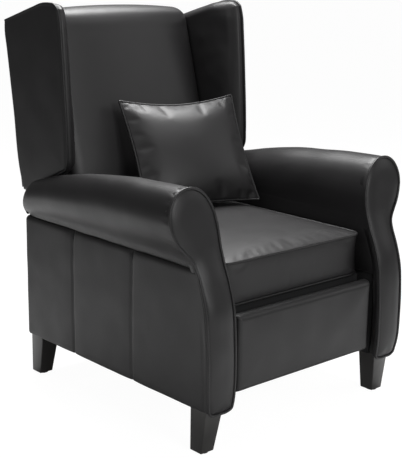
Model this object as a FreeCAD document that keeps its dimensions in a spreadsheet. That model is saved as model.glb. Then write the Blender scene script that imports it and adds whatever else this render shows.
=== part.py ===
# Wingback recliner with scroll arms, a push-back mechanism and a loose pillow.
# Millimetres. The front of the chair faces -Y, +X is the right as seen from the
# front, and +Z is up from the floor. The frame's origin is on the floor, midway.
import FreeCAD, Part
import math
import os
import Sketcher
from types import SimpleNamespace
from FreeCAD import Placement, Rotation, Vector

# Driving dimensions: name, value and what it is.
DRIVING = [
    ("close_gap", 0.3, "clearance between neighbouring upholstered pieces"),
    ("glide_height", 3, "thickness of the plastic disc under each leg"),
    ("glide_radius", 14, "radius of that disc"),
    ("leg_height", 115, "floor to the underside of the body"),
    ("leg_outer", 329, "outer face of the legs from the middle"),
    ("foot_wide", 40, "leg at the floor, across"),
    ("foot_deep", 45, "leg at the floor, front to back"),
    ("leg_top_wide", 55, "leg at the body, across"),
    ("leg_top_deep", 55, "leg at the body, front to back"),
    ("front_leg_back", -355, "upright back face of the front legs"),
    ("rear_leg_back", 317, "upright back face of the rear legs"),
    ("bolt_radius", 4, "hanger bolt that holds a leg"),
    ("bolt_reach", 40, "length of the hanger bolt each side of the joint"),
    ("arm_inner", 258, "inner face of an arm from the middle"),
    ("arm_outer", 341, "outer face of an arm below the roll"),
    ("inner_pad", 6, "thickness of the padding inside the arm"),
    ("cover_thick", 12, "thickness of the padded outer panels"),
    ("board_thick", 18, "plywood side board of an arm"),
    ("frame_post", 62, "width of the posts of an arm frame"),
    ("frame_rail", 33, "height of the rails of an arm frame"),
    ("rear_face", 321, "rear face of the base"),
    ("seam_rise", 37, "seam under the arm roll above the shoulder"),
    ("roll_top", 633, "top of the arm roll at the front"),
    ("roll_out", 401, "widest point of the arm roll"),
    ("roll_top_x", 337, "crest line of the arm roll"),
    ("roll_end", 71, "length of the rounded rear end of the roll"),
    ("roll_rear_gap", 2, "from the end of the roll to the rear face"),
    ("panel_thick", 30, "thickness of the arm front panel"),
    ("panel_foot", 108, "lower end of the arm front panel"),
    ("foot_y", -425, "front curve of the arm at its foot"),
    ("knee_y", -427, "front curve at the knee"),
    ("knee_height", 300, "height of the knee"),
    ("shoulder_y", -404, "front curve where it turns back"),
    ("shoulder_rise", 115, "that turn above the knee"),
    ("waist_y", -383, "front curve below the scroll"),
    ("waist_rise", 46, "that point above the shoulder"),
    ("neck_y", -364, "front curve at the scroll"),
    ("neck_rise", 74, "the scroll's widest point above the waist"),
    ("crest_y", -350, "front curve above the scroll"),
    ("crest_over", 12, "end of the front curve above the roll"),
    ("base_rail", 29, "thickness of the rear cross rail"),
    ("back_panel_top", 365, "top of the rear panel of the base"),
    ("steel", 2.5, "thickness of the mechanism's flat steel"),
    ("play", 0.5, "side play between two steel links"),
    ("pin_radius", 4, "mechanism rivets"),
    ("running", 0.05, "radial clearance of a rivet in a link"),
    ("guide_slack", 1.0, "radial clearance at the guide link's open pivot"),
    ("tie_slack", 0.6, "radial clearance at the tie link's open pivot"),
    ("head_radius", 6, "rivet head"),
    ("head_thick", 2, "rivet head's height"),
    ("flange_wide", 25, "flanges of the steel angles past the seat frame's side"),
    ("bracket_below", 85, "footrest bracket below its upper pivot"),
    ("bracket_above", 45, "footrest bracket above its upper pivot"),
    ("link_half", 10, "half width of the heavy links"),
    ("slim_half", 8, "half width of the slim links"),
    ("glide_length", 90, "pivot to pivot of the seat's glide links"),
    ("glide_lean", 22, "degrees the glide links lean back at rest"),
    ("glide_low", 176, "height of the glide links' lower pivots"),
    ("front_glide_y", -190, "front lower glide pivot"),
    ("rear_glide_y", 130, "rear lower glide pivot"),
    ("lower_pivot_y", -304, "lower footrest link on the seat rail"),
    ("lower_pivot_z", 262, "height of that pivot"),
    ("guide_pivot_y", -318, "guide link on the seat rail"),
    ("guide_pivot_z", 300, "height of that pivot"),
    ("elbow_y", -249.8, "lower link to upper link"),
    ("elbow_z", 142.0, "height of that pivot"),
    ("cross_y", -261.9, "guide link to upper link"),
    ("cross_z", 175.9, "height of that pivot"),
    ("heel_y", -236.3, "guide link to tie link"),
    ("heel_z", 152.2, "height of that pivot"),
    ("toe_y", -362.1, "upper link to footrest bracket"),
    ("toe_z", 263.3, "height of that pivot"),
    ("tie_y", -332.2, "tie link to footrest bracket"),
    ("tie_z", 236.7, "height of that pivot"),
    ("tube_radius", 9, "cross tube between the guide links"),
    ("tube_along", 70, "cross tube from the guide link's upper pivot"),
    ("recline_y", 235, "back pivot"),
    ("recline_z", 366, "height of the back pivot"),
    ("recline_pin", 6, "radius of the back pivot's pin"),
    ("seat_gap", 18, "from the seat frame's side to the inner face of an arm"),
    ("seat_front", -365, "front face of the seat frame"),
    ("seat_rear", 200, "rear face of the seat frame"),
    ("seat_rail_low", 290, "underside of the seat frame"),
    ("seat_rail_high", 335, "top of the seat frame"),
    ("seat_rail_wide", 22, "thickness of the seat frame's rails"),
    ("web_thick", 1.5, "thickness of the elastic webbing"),
    ("web_wide", 50, "width of the elastic webbing"),
    ("cushion_gap", 12, "from the seat cushion to the inner face of an arm"),
    ("cushion_front", -372, "front of the seat cushion"),
    ("cushion_rear", 222, "rear of the seat cushion"),
    ("cushion_seam", 442, "height of the upper welt"),
    ("cushion_crown", 28, "rise of the crown above the welt"),
    ("footrest_gap", 18, "from the footrest to the inner face of an arm"),
    ("footrest_low", 136, "lower edge of the closed footrest"),
    ("footrest_high", 330, "upper edge of the closed footrest"),
    ("footrest_face", -418, "front of the closed footrest"),
    ("pad_thick", 21, "thickness of the footrest pad"),
    ("footrest_board", 12, "thickness of the footrest board"),
    ("back_low_y", 362, "rear face of the back at its lower edge"),
    ("back_low_z", 517, "height of that edge"),
    ("back_high_y", 431, "rear face of the back at its top"),
    ("panel_rise", 15, "top of the outside back above the top rail"),
    ("back_skin", 10, "thickness of the outside back"),
    ("post_deep", 45, "depth of the back posts"),
    ("post_wide", 30, "width of the back posts"),
    ("rail_drop", 63, "top rail below the top of the back"),
    ("back_rail", 45, "height of the back frame's rails"),
    ("back_foot", 380, "lower end of the back posts"),
    ("back_cushion_low", 474, "lower edge of the back cushion"),
    ("back_front_y", 172, "front of the back cushion at its lower edge"),
    ("back_slope", 0.2746, "lean of the back cushion, run over rise"),
    ("back_crown", 26, "how far the cushion's middle stands out"),
    ("back_top", 1003, "top of the back cushion"),
    ("wing_inner", 303, "inner face of the wing boards"),
    ("wing_board", 15, "thickness of the wing boards"),
    ("wing_skin", 5, "thickness of the outside wing panels"),
    ("wing_front_low", 156, "front edge of a wing at its foot"),
    ("wing_front_high", 177, "front edge of a wing near its top"),
    ("wing_foot", 606, "height of the wing's front foot"),
    ("wing_top", 1012, "highest point of a wing"),
    ("pillow_wide", 372, "pillow across"),
    ("pillow_high", 332, "pillow up"),
    ("pillow_half", 50, "half thickness of the pillow"),
    ("pillow_x", 62, "middle of the pillow"),
    ("pillow_y", 102, "middle of the pillow"),
    ("pillow_z", 614, "middle of the pillow"),
    ("pillow_tilt", 30, "degrees the pillow leans back"),
    ("pillow_yaw", 11, "degrees the pillow is turned"),
]


class Size:
    """A number that keeps the sheet formula that it comes from."""

    def __init__(self, value, text):
        self.value = value
        self.text = text

    @staticmethod
    def of(number):
        return number if isinstance(number, Size) else Size(number, "(%.9g)" % number)

    def joined(self, other, sign, value):
        return Size(value, "(%s %s %s)" % (self.text, sign, other.text))

    def __add__(self, other):
        other = Size.of(other)
        return self.joined(other, "+", self.value + other.value)

    def __sub__(self, other):
        other = Size.of(other)
        return self.joined(other, "-", self.value - other.value)

    def __mul__(self, other):
        other = Size.of(other)
        return self.joined(other, "*", self.value * other.value)

    def __truediv__(self, other):
        other = Size.of(other)
        return self.joined(other, "/", self.value / other.value)

    def __radd__(self, other):
        return Size.of(other) + self

    def __rsub__(self, other):
        return Size.of(other) - self

    def __rmul__(self, other):
        return Size.of(other) * self

    def __neg__(self):
        return Size.of(0) - self


doc = FreeCAD.newDocument("Recliner")
sheet = doc.addObject("Spreadsheet::Sheet", "Sizes")
dim = SimpleNamespace()
for row, (name, value, meaning) in enumerate(DRIVING, start=1):
    sheet.set("A%d" % row, meaning)
    sheet.set("B%d" % row, "%.6g" % value)
    sheet.setAlias("B%d" % row, name)
    setattr(dim, name, Size(value, "Sizes." + name))
doc.recompute()

NODES = {}
SIDES = (("left", -1), ("right", 1))


def bind(thing, prop, size):
    """Binds a property to the sheet, or sets a plain number."""
    size = Size.of(size)
    thing.setExpression(prop, size.text)


def keep(node, thing):
    """Registers the finished object of a node under the node's name."""
    thing.Label = node
    NODES[node] = thing
    return thing


def span(side, near, far):
    """The low and high X of a piece between two distances from the middle."""
    return (near, far) if side > 0 else (-Size.of(far), -Size.of(near))


def mirrored(side, points):
    """Points of an outline drawn for the right side, put on either side."""
    return [(side * Size.of(a), b) for a, b in points]


def draw(body, plane, offset, points, bows=None, holes=()):
    """Adds a closed outline to a body. A bow turns the edge that starts at a
    point into an arc that stands out by that much on the right of its way."""
    bows = bows or {}
    sketch = body.newObject("Sketcher::SketchObject", body.Name + "_sketch")
    origin = [f for f in body.Origin.OriginFeatures if f.Role == plane + "_Plane"][0]
    sketch.AttachmentSupport = [(origin, "")]
    sketch.MapMode = "FlatFace"
    bind(sketch, "AttachmentOffset.Base.z", offset)
    corners = [(Size.of(a), Size.of(b)) for a, b in points]
    count = len(corners)
    for i, (a, b) in enumerate(corners):
        c, d = corners[(i + 1) % count]
        start = Vector(a.value, b.value, 0)
        end = Vector(c.value, d.value, 0)
        bow = Size.of(bows.get(i, 0))
        if bow.value:
            way = end - start
            aside = Vector(way.y, -way.x, 0).normalize() * bow.value
            edge = Part.Arc(start, (start + end) / 2 + aside, end)
        else:
            edge = Part.LineSegment(start, end)
        sketch.addGeometry(edge, False)
    for i, (a, b) in enumerate(corners):
        turned = Size.of(bows.get(i, 0)).value < 0
        following = (i + 1) % count
        first, last = (2, 1) if turned else (1, 2)
        next_turned = Size.of(bows.get(following, 0)).value < 0
        sketch.addConstraint(Sketcher.Constraint("Coincident", i, last, following, 2 if next_turned else 1))
        for kind, size in (("DistanceX", a), ("DistanceY", b)):
            index = sketch.addConstraint(Sketcher.Constraint(kind, -1, 1, i, first, size.value))
            bind(sketch, "Constraints[%d]" % index, size)
    for i, bow in bows.items():
        bow = Size.of(bow)
        if not bow.value:
            continue
        a, b = corners[i]
        c, d = corners[(i + 1) % count]
        rise = bow if bow.value > 0 else -bow
        radius = ((c - a) * (c - a) + (d - b) * (d - b)) / (8 * rise) + rise / 2
        index = sketch.addConstraint(Sketcher.Constraint("Radius", i, radius.value))
        bind(sketch, "Constraints[%d]" % index, radius)
    for a, b, radius in holes:
        a, b, radius = Size.of(a), Size.of(b), Size.of(radius)
        centre = Vector(a.value, b.value, 0)
        hole = sketch.addGeometry(Part.Circle(centre, Vector(0, 0, 1), radius.value), False)
        for kind, size in (("DistanceX", a), ("DistanceY", b)):
            index = sketch.addConstraint(Sketcher.Constraint(kind, -1, 1, hole, 3, size.value))
            bind(sketch, "Constraints[%d]" % index, size)
        index = sketch.addConstraint(Sketcher.Constraint("Radius", hole, radius.value))
        bind(sketch, "Constraints[%d]" % index, radius)
    return sketch


def chords(points, bows, steps):
    """The outline with each bowed edge as that many straight chords of its arc."""
    made = []
    for i, (start, end) in enumerate(zip(points, points[1:] + points[:1])):
        start, end = [[Size.of(part) for part in point] for point in (start, end)]
        made.append(tuple(start))
        bow = Size.of(bows.get(i, 0)).value
        if not bow:
            continue
        way = [end[0].value - start[0].value, end[1].value - start[1].value]
        length = math.hypot(*way)
        radius = (length ** 2 / 4 + bow ** 2) / (2 * abs(bow))
        half = math.asin(min(length / 2 / radius, 1))
        for step in range(1, steps):
            angle = half * (2 * step / steps - 1)
            share = 0.5 + radius * math.sin(angle) / length
            rise = math.copysign(radius * math.cos(angle) - radius + abs(bow), bow) / length
            made.append((start[0] + (end[0] - start[0]) * share + (end[1] - start[1]) * rise,
                         start[1] + (end[1] - start[1]) * share - (end[0] - start[0]) * rise))
    return made


def plate(name, plane, low, high, points, bows=None, holes=()):
    """A padded outline between two offsets along the plane's own axis."""
    low, high = Size.of(low), Size.of(high)
    body = doc.addObject("PartDesign::Body", name)
    offset = -high if plane == "XZ" else low
    sketch = draw(body, plane, offset, points, bows, holes)
    pad = body.newObject("PartDesign::Pad", name + "_pad")
    pad.Profile = sketch
    bind(pad, "Length", high - low)
    return body


def loft(name, plane, runs, ruled=False, body=None):
    """A loft through outlines: runs holds offset, points and bows of each."""
    body = body or doc.addObject("PartDesign::Body", name)
    sketches = []
    for offset, points, bows in runs:
        offset = -Size.of(offset) if plane == "XZ" else offset
        sketches.append(draw(body, plane, offset, points, bows))
    feature = body.newObject("PartDesign::AdditiveLoft", name + "_loft")
    feature.Profile = sketches[0]
    feature.Sections = sketches[1:]
    feature.Ruled = ruled
    return body


def block(name, xs, ys, zs):
    """A box between two values on each axis."""
    box = doc.addObject("Part::Box", name)
    for axis, prop, (low, high) in zip("xyz", ("Length", "Width", "Height"), (xs, ys, zs)):
        low, high = Size.of(low), Size.of(high)
        bind(box, "Placement.Base." + axis, low)
        bind(box, prop, high - low)
    return box


def bar(name, xs, centre, radius):
    """A round bar along X."""
    low, high = Size.of(xs[0]), Size.of(xs[1])
    rod = doc.addObject("Part::Cylinder", name)
    rod.Placement = Placement(Vector(), Rotation(Vector(0, 1, 0), 90))
    for axis, size in zip("xyz", (low, Size.of(centre[0]), Size.of(centre[1]))):
        bind(rod, "Placement.Base." + axis, size)
    bind(rod, "Radius", radius)
    bind(rod, "Height", high - low)
    return rod


def peg(name, centre, zs, radius):
    """A round bar along Z."""
    rod = doc.addObject("Part::Cylinder", name)
    for axis, size in zip("xyz", (centre[0], centre[1], zs[0])):
        bind(rod, "Placement.Base." + axis, size)
    bind(rod, "Radius", radius)
    bind(rod, "Height", Size.of(zs[1]) - zs[0])
    return rod


def cut(name, base, tool):
    result = doc.addObject("Part::Cut", name)
    result.Base = base
    result.Tool = tool
    return result


def common(name, base, tool):
    result = doc.addObject("Part::Common", name)
    result.Base = base
    result.Tool = tool
    return result


def fused(name, pieces):
    result = doc.addObject("Part::MultiFuse", name)
    result.Shapes = pieces
    return result


def group(name, pieces):
    """Separate solids that share one node."""
    result = doc.addObject("Part::Compound", name)
    result.Links = pieces
    return result


shoulder_height = dim.knee_height + dim.shoulder_rise
seam_height = shoulder_height + dim.seam_rise
waist_height = shoulder_height + dim.waist_rise
neck_height = waist_height + dim.neck_rise
crest_height = dim.roll_top + dim.crest_over
panel_back = dim.panel_thick + dim.close_gap
frame_outer = dim.arm_outer - dim.cover_thick
board_inner = dim.arm_inner + dim.inner_pad
seat_half = dim.arm_inner - dim.seat_gap
cushion_half = dim.arm_inner - dim.cushion_gap
footrest_half = dim.arm_inner - dim.footrest_gap
rear_inner = dim.rear_face - dim.cover_thick
seam_y = dim.shoulder_y + (dim.waist_y - dim.shoulder_y) * (dim.seam_rise / dim.waist_rise)


# The front curve of an arm in side view, moved back by a depth. It is the
# first part of an outline that a caller closes behind it.
def front_curve(depth, low, high=None):
    points = [
        (dim.foot_y + depth, low),
        (dim.knee_y + depth, dim.knee_height),
        (dim.shoulder_y + depth, shoulder_height),
        (dim.waist_y + depth, waist_height),
        (dim.neck_y + depth, neck_height),
        (dim.crest_y + depth, high if high is not None else crest_height),
    ]
    bows = {0: -5.5, 1: -5.9, 3: 3}
    return points, bows


def wedge(name, side, outer, back):
    """A tapered leg, upright on its outer and back faces."""
    post = doc.addObject("Part::Wedge", name)
    post.Placement = Placement(Vector(), Rotation(Vector(1, 0, 0), 90))
    for axis, size in zip("xyz", (side * outer, back, dim.glide_height)):
        bind(post, "Placement.Base." + axis, size)
    inward = "min" if side > 0 else "max"
    outward = "max" if side > 0 else "min"
    for prop, size in (
        ("X" + inward, -side * dim.foot_wide), ("X2" + inward, -side * dim.leg_top_wide),
        ("X" + outward, 0), ("X2" + outward, 0),
        ("Ymin", 0), ("Ymax", dim.leg_height - dim.glide_height),
        ("Zmin", 0), ("Z2min", 0), ("Zmax", dim.foot_deep), ("Z2max", dim.leg_top_deep),
    ):
        bind(post, prop, size)
    return post


# Legs: square tapered hardwood, upright on the outer and back faces, each on
# a plastic disc and held by a hanger bolt in the arm frame above it.
legs = []
for side_name, side in SIDES:
    for end_name, back_face in (("front", dim.front_leg_back), ("rear", dim.rear_leg_back)):
        name = "%s_%s_leg" % (side_name, end_name)
        taper = wedge(name + "_taper", side, dim.leg_outer, back_face)
        centre = (side * (dim.leg_outer - dim.leg_top_wide / 2), back_face - dim.leg_top_deep / 2)
        foot = (side * (dim.leg_outer - dim.foot_wide / 2), back_face - dim.foot_deep / 2)
        legs.append((name, centre, foot))
        bore = peg(name + "_bore", centre, (dim.leg_height - dim.bolt_reach, dim.leg_height + 1),
                   dim.bolt_radius + dim.running)
        keep(name, cut(name, taper, bore))

keep("leg_glides", group("leg_glides", [
    peg(name + "_glide", foot, (0, dim.glide_height), dim.glide_radius) for name, centre, foot in legs
]))
keep("leg_bolts", group("leg_bolts", [
    peg(name + "_bolt", centre, (dim.leg_height - dim.bolt_reach + 1, dim.leg_height + dim.bolt_reach - 1),
        dim.bolt_radius) for name, centre, foot in legs
]))

# Arm frames: a plywood side board with posts and rails on its outer side,
# recessed between them, and bored for the leg bolts.
for side_name, side in SIDES:
    name = side_name + "_arm_frame"
    points, bows = front_curve(panel_back, dim.leg_height)
    points = points[:3] + [(seam_y + panel_back, seam_height), (rear_inner, seam_height),
                           (rear_inner, dim.leg_height)]
    bows = {0: bows[0], 1: bows[1]}
    blank = plate(name + "_blank", "YZ", *span(side, board_inner, frame_outer), points, bows)
    recess = block(
        name + "_recess",
        span(side, board_inner + dim.board_thick, frame_outer + 1),
        (dim.front_leg_back + dim.frame_post / 2, rear_inner - dim.frame_post),
        (dim.leg_height + dim.frame_rail, seam_height - dim.frame_rail),
    )
    bores = [
        peg(leg + "_upper_bore", centre, (dim.leg_height - 1, dim.leg_height + dim.bolt_reach),
            dim.bolt_radius + dim.running)
        for leg, centre, foot in legs if leg.startswith(side_name)
    ]
    keep(name, cut(name, blank, fused(name + "_cuts", [recess] + bores)))

# Outer arm covers: padded panels that turn the rear corner of the arm.
for side_name, side in SIDES:
    name = side_name + "_side_panel"
    points, bows = front_curve(panel_back, dim.leg_height)
    points = points[:3] + [(seam_y + panel_back, seam_height), (dim.rear_face, seam_height),
                           (dim.rear_face, dim.leg_height)]
    bows = {0: bows[0], 1: bows[1]}
    face = plate(name + "_face", "YZ", *span(side, frame_outer, dim.arm_outer), points, bows)
    turn = block(name + "_turn", span(side, board_inner, frame_outer), (rear_inner, dim.rear_face),
                 (dim.leg_height, seam_height))
    keep(name, fused(name, [face, turn]))

# Padding on the inner side of each arm, above the mechanism.
INNER_PAD_REAR = 45
for side_name, side in SIDES:
    name = side_name + "_inner_arm_pad"
    points, bows = front_curve(panel_back, dim.seat_rail_high)
    low_share = (dim.seat_rail_high - dim.knee_height) / (shoulder_height - dim.knee_height)
    low_y = dim.knee_y + (dim.shoulder_y - dim.knee_y) * low_share + panel_back
    points = [(low_y, dim.seat_rail_high), points[2], (seam_y + panel_back, seam_height),
              (dim.recline_y - INNER_PAD_REAR, seam_height),
              (dim.recline_y - INNER_PAD_REAR, dim.seat_rail_high)]
    keep(name, plate(name, "YZ", *span(side, dim.arm_inner, board_inner), points))

# Arm rolls: foam rolls on the arm frames. The scroll outline of the front
# shrinks towards the seam as the top line falls to the rear.
ROLL_FALL = 0.525
ROLL_POWER = 2.6
ROLL_SHARES = (0.0, 0.30, 0.50, 0.66, 0.78, 0.88, 0.94, 0.972, 0.99)
roll_high = dim.roll_top - seam_height
roll_start = dim.foot_y
roll_stop = dim.rear_face - dim.roll_rear_gap
roll_length = roll_stop - roll_start


def scroll(side, shrink):
    """Section of the roll above the seam, shrunk towards the seam."""
    rise = roll_high * shrink
    out = (dim.roll_out - dim.arm_outer) * shrink
    seam = seam_height
    points = [
        (dim.arm_inner, seam),
        (dim.arm_outer, seam),
        (dim.arm_outer + out * 0.4, seam + rise * 0.18),
        (dim.arm_outer + out * 0.9, seam + rise * 0.48),
        (dim.roll_top_x, seam + rise),
        (dim.arm_inner, seam + rise * 0.46),
    ]
    bows = {3: side * 34 * shrink, 4: side * 25 * shrink}
    return mirrored(side, points), bows


for side_name, side in SIDES:
    name = side_name + "_arm_roll"
    runs = []
    for share in ROLL_SHARES:
        y = roll_start + roll_length * share
        shrink = 1 - ROLL_FALL * share ** ROLL_POWER
        into_end = 1 - (1 - share) * roll_length.value / dim.roll_end.value
        if into_end > 0:
            shrink *= math.sqrt(1 - into_end ** 2)
        runs.append((y, chords(*scroll(side, shrink), 8), None))
    blank = loft(name + "_blank", "XZ", runs, ruled=True)
    ahead = dim.foot_y - 60
    points, bows = front_curve(panel_back, dim.leg_height)
    points = points + [(ahead, crest_height), (ahead, dim.leg_height)]
    trim = plate(name + "_trim", "YZ", *span(side, dim.arm_inner - 20, dim.roll_out + 20), points, bows)
    keep(name, cut(name, blank, trim))

# Arm front panels: the scroll outline seen from the front, bent to the
# front curve seen from the side. A lip hangs in front of the leg's top.
for side_name, side in SIDES:
    name = side_name + "_arm_front"
    low = dim.panel_foot
    points = [
        (dim.arm_inner + dim.close_gap, low + 16),
        (dim.arm_inner + 12, low),
        (dim.leg_outer + 2, low + 4),
        (dim.arm_outer - 3, low + 40),
        (dim.arm_outer + 3, shoulder_height - 5),
        (dim.arm_outer + (dim.roll_out - dim.arm_outer) * 0.4, seam_height + roll_high * 0.18),
        (dim.arm_outer + (dim.roll_out - dim.arm_outer) * 0.9, seam_height + roll_high * 0.48),
        (dim.roll_top_x, dim.roll_top),
        (dim.arm_inner + 2, seam_height + roll_high * 0.46),
    ]
    bows = {0: side * 4, 2: side * 5, 4: side * -5, 6: side * 34, 7: side * 25}
    outline = plate(name + "_outline", "XZ", dim.foot_y - 40, dim.crest_y + dim.panel_thick + 40,
                    mirrored(side, points), bows)
    ahead, bent = front_curve(0, low - 10)
    behind, bent_back = front_curve(dim.panel_thick, dim.leg_height)
    behind = list(reversed(behind))
    count = len(ahead)
    bows = dict(bent)
    bows.update({2 * count - 2 - i: -bow for i, bow in bent_back.items()})
    lip = dim.front_leg_back - dim.leg_top_deep - dim.close_gap
    sweep = plate(name + "_sweep", "YZ", *span(side, dim.arm_inner - 20, dim.roll_out + 20),
                  ahead + behind + [(lip, dim.leg_height), (lip, low - 10)], bows)
    keep(name, common(name, outline, sweep))

# Cross rails that join the arms, and the padded panel that closes the rear.
FRONT_RAIL_FRONT = -215
FRONT_RAIL_DEEP = 25
FRONT_RAIL_HIGH = 37
rail_low = dim.leg_height + 3
keep("base_front_rail", block("base_front_rail", (-board_inner, board_inner),
                              (FRONT_RAIL_FRONT, FRONT_RAIL_FRONT + FRONT_RAIL_DEEP),
                              (rail_low, rail_low + FRONT_RAIL_HIGH)))
keep("base_rear_rail", block("base_rear_rail", (-board_inner, board_inner),
                             (rear_inner - dim.base_rail, rear_inner),
                             (rail_low, rail_low + 2 * FRONT_RAIL_HIGH)))
keep("base_back_panel", block("base_back_panel", (-board_inner, board_inner),
                              (rear_inner, dim.rear_face), (dim.leg_height, dim.back_panel_top)))


# Mechanism. The flat steel parts lie in layers, counted inwards from the
# side board; each layer is one steel thickness and one play deep.
def layer(number):
    high = board_inner - number * (dim.steel + dim.play)
    return high - dim.steel, high


def rivet(name, side, centre, outer, inner, head_inside=True, radius=None, collar=None):
    """A rivet through layers outer to inner. Its head is past the last
    layer, on the inner or outer side; a collar keeps distant layers apart."""
    radius = radius or dim.pin_radius
    low = layer(inner)[0]
    high = layer(outer)[1]
    tip = dim.play * 0.2
    pieces = []
    if head_inside:
        pieces.append(bar(name + "_shank", span(side, low - tip, high), centre, radius))
        head = (low - tip - dim.head_thick, low - tip)
    else:
        pieces.append(bar(name + "_shank", span(side, low, high + tip), centre, radius))
        head = (high + tip, high + tip + dim.head_thick)
    if head_inside is not None:
        pieces.append(bar(name + "_head", span(side, *head), centre, radius + dim.head_radius - dim.pin_radius))
    if collar:
        inside = layer(inner)[1] + tip
        outside = layer(outer)[0]
        pieces.append(bar(name + "_collar", span(side, inside, outside), centre, collar))
    return fused(name, pieces)


def stud(name, side, centre, outer, inner):
    """A headless rivet, flush with the last layer that it reaches."""
    return bar(name, span(side, layer(inner)[0] + 0.1, layer(outer)[1]), centre, dim.pin_radius)


def link(name, side, number, start, end, half, start_hole, end_hole, extra=()):
    """A flat steel link with round ends and its holes."""
    ay, az = start
    by, bz = end
    length = math.hypot((by - ay).value, (bz - az).value)
    along = ((by - ay) / length * half, (bz - az) / length * half)
    aside = (along[1], -along[0])
    points = [
        (ay + aside[0], az + aside[1]),
        (by + aside[0], bz + aside[1]),
        (by + along[0], bz + along[1]),
        (by - aside[0], bz - aside[1]),
        (ay - aside[0], az - aside[1]),
        (ay - along[0], az - along[1]),
    ]
    quarter = half * (1 - math.sqrt(0.5))
    bows = {1: quarter, 2: quarter, 4: quarter, 5: quarter}
    holes = [(ay, az, start_hole), (by, bz, end_hole)] + list(extra)
    return plate(name, "YZ", *span(side, *layer(number)), points, bows, holes)


free = dim.pin_radius + dim.running
pivot = SimpleNamespace(
    front_glide=(dim.front_glide_y, dim.glide_low),
    rear_glide=(dim.rear_glide_y, dim.glide_low),
    lower=(dim.lower_pivot_y, dim.lower_pivot_z),
    guide=(dim.guide_pivot_y, dim.guide_pivot_z),
    elbow=(dim.elbow_y, dim.elbow_z),
    cross=(dim.cross_y, dim.cross_z),
    heel=(dim.heel_y, dim.heel_z),
    toe=(dim.toe_y, dim.toe_z),
    tie=(dim.tie_y, dim.tie_z),
    recline=(dim.recline_y, dim.recline_z),
)
lean = math.radians(dim.glide_lean.value)
glide_back = dim.glide_length * math.sin(lean)
glide_up = dim.glide_length * math.cos(lean)
pivot.front_seat = (dim.front_glide_y + glide_back, dim.glide_low + glide_up)
pivot.rear_seat = (dim.rear_glide_y + glide_back, dim.glide_low + glide_up)

# Base plates: pressed steel on the side boards, with an upright at the rear
# that carries the pivot of the back.
PLATE_LOW = 160
for side_name, side in SIDES:
    name = side_name + "_base_plate"
    low, high = PLATE_LOW, dim.glide_low + 20
    rise_front, rise_rear = dim.recline_y - 30, dim.recline_y + 30
    points = [
        (dim.front_glide_y - 45, low),
        (rise_rear, low),
        (rise_rear, dim.recline_z - 5),
        (rise_rear - 18, dim.recline_z + 15),
        (rise_front + 18, dim.recline_z + 15),
        (rise_front, dim.recline_z - 5),
        (rise_front, high + 40),
        (rise_front - 40, high),
        (dim.front_glide_y - 45, high),
    ]
    bows = {2: 4, 4: 4, 6: -9}
    holes = [pivot.front_glide + (free,), pivot.rear_glide + (free,),
             pivot.recline + (dim.recline_pin + dim.running,)]
    keep(name, plate(name, "YZ", *span(side, *layer(0)), points, bows, holes))

base_pins = []
for side_name, side in SIDES:
    for label, centre in (("front_glide", pivot.front_glide), ("rear_glide", pivot.rear_glide)):
        base_pins.append(rivet("%s_%s_pin" % (side_name, label), side, centre, 0, 1))
    base_pins.append(rivet(side_name + "_back_pivot_pin", side, pivot.recline, 0, 4,
                           radius=dim.recline_pin, collar=dim.recline_pin + 4))
keep("base_pivot_pins", group("base_pivot_pins", base_pins))

# Glide links: two equal links a side carry the seat on a parallelogram.
for node, low, high in (
    ("front_glide_links", pivot.front_glide, pivot.front_seat),
    ("rear_glide_links", pivot.rear_glide, pivot.rear_seat),
):
    keep(node, group(node, [
        link("%s_%s" % (side_name, node), side, 1, low, high, dim.link_half, free, free)
        for side_name, side in SIDES
    ]))

# Seat rails: steel angles under the seat frame, with an ear at the front for
# the guide link.
for side_name, side in SIDES:
    name = side_name + "_seat_rail"
    bottom, top = dim.lower_pivot_z - 15, dim.seat_rail_low
    front = dim.guide_pivot_y - 14
    points = [
        (front, bottom + 10),
        (front + 10, bottom),
        (dim.seat_rear, bottom),
        (dim.seat_rear, top),
        (front + 40, top),
        (front + 28, dim.guide_pivot_z + 12),
        (front, dim.guide_pivot_z + 12),
    ]
    holes = [place + (free,) for place in (pivot.lower, pivot.guide, pivot.front_seat, pivot.rear_seat)]
    web = plate(name + "_web", "YZ", *span(side, *layer(2)), points, None, holes)
    flange = block(name + "_flange", span(side, seat_half - dim.flange_wide, layer(2)[0]),
                   (front + dim.flange_wide + 20, dim.seat_rear), (top - dim.steel, top))
    keep(name, fused(name, [web, flange]))

seat_pins = []
for side_name, side in SIDES:
    for label, centre in (("front_seat", pivot.front_seat), ("rear_seat", pivot.rear_seat)):
        seat_pins.append(rivet("%s_%s_pin" % (side_name, label), side, centre, 1, 2, head_inside=False))
    seat_pins.append(rivet(side_name + "_lower_pin", side, pivot.lower, 2, 3))
    seat_pins.append(rivet(side_name + "_guide_pin", side, pivot.guide, 2, 5, collar=7))
keep("seat_rail_pins", group("seat_rail_pins", seat_pins))

# Footrest linkage: lower and guide links swing on the seat rail, the upper
# link joins them and carries the bracket, and the tie link turns the bracket.
keep("lower_links", group("lower_links", [
    link(side_name + "_lower_link", side, 3, pivot.lower, pivot.elbow, dim.link_half, free, free)
    for side_name, side in SIDES
]))
keep("elbow_pins", group("elbow_pins", [
    rivet(side_name + "_elbow_pin", side, pivot.elbow, 3, 4, head_inside=False) for side_name, side in SIDES
]))


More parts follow.
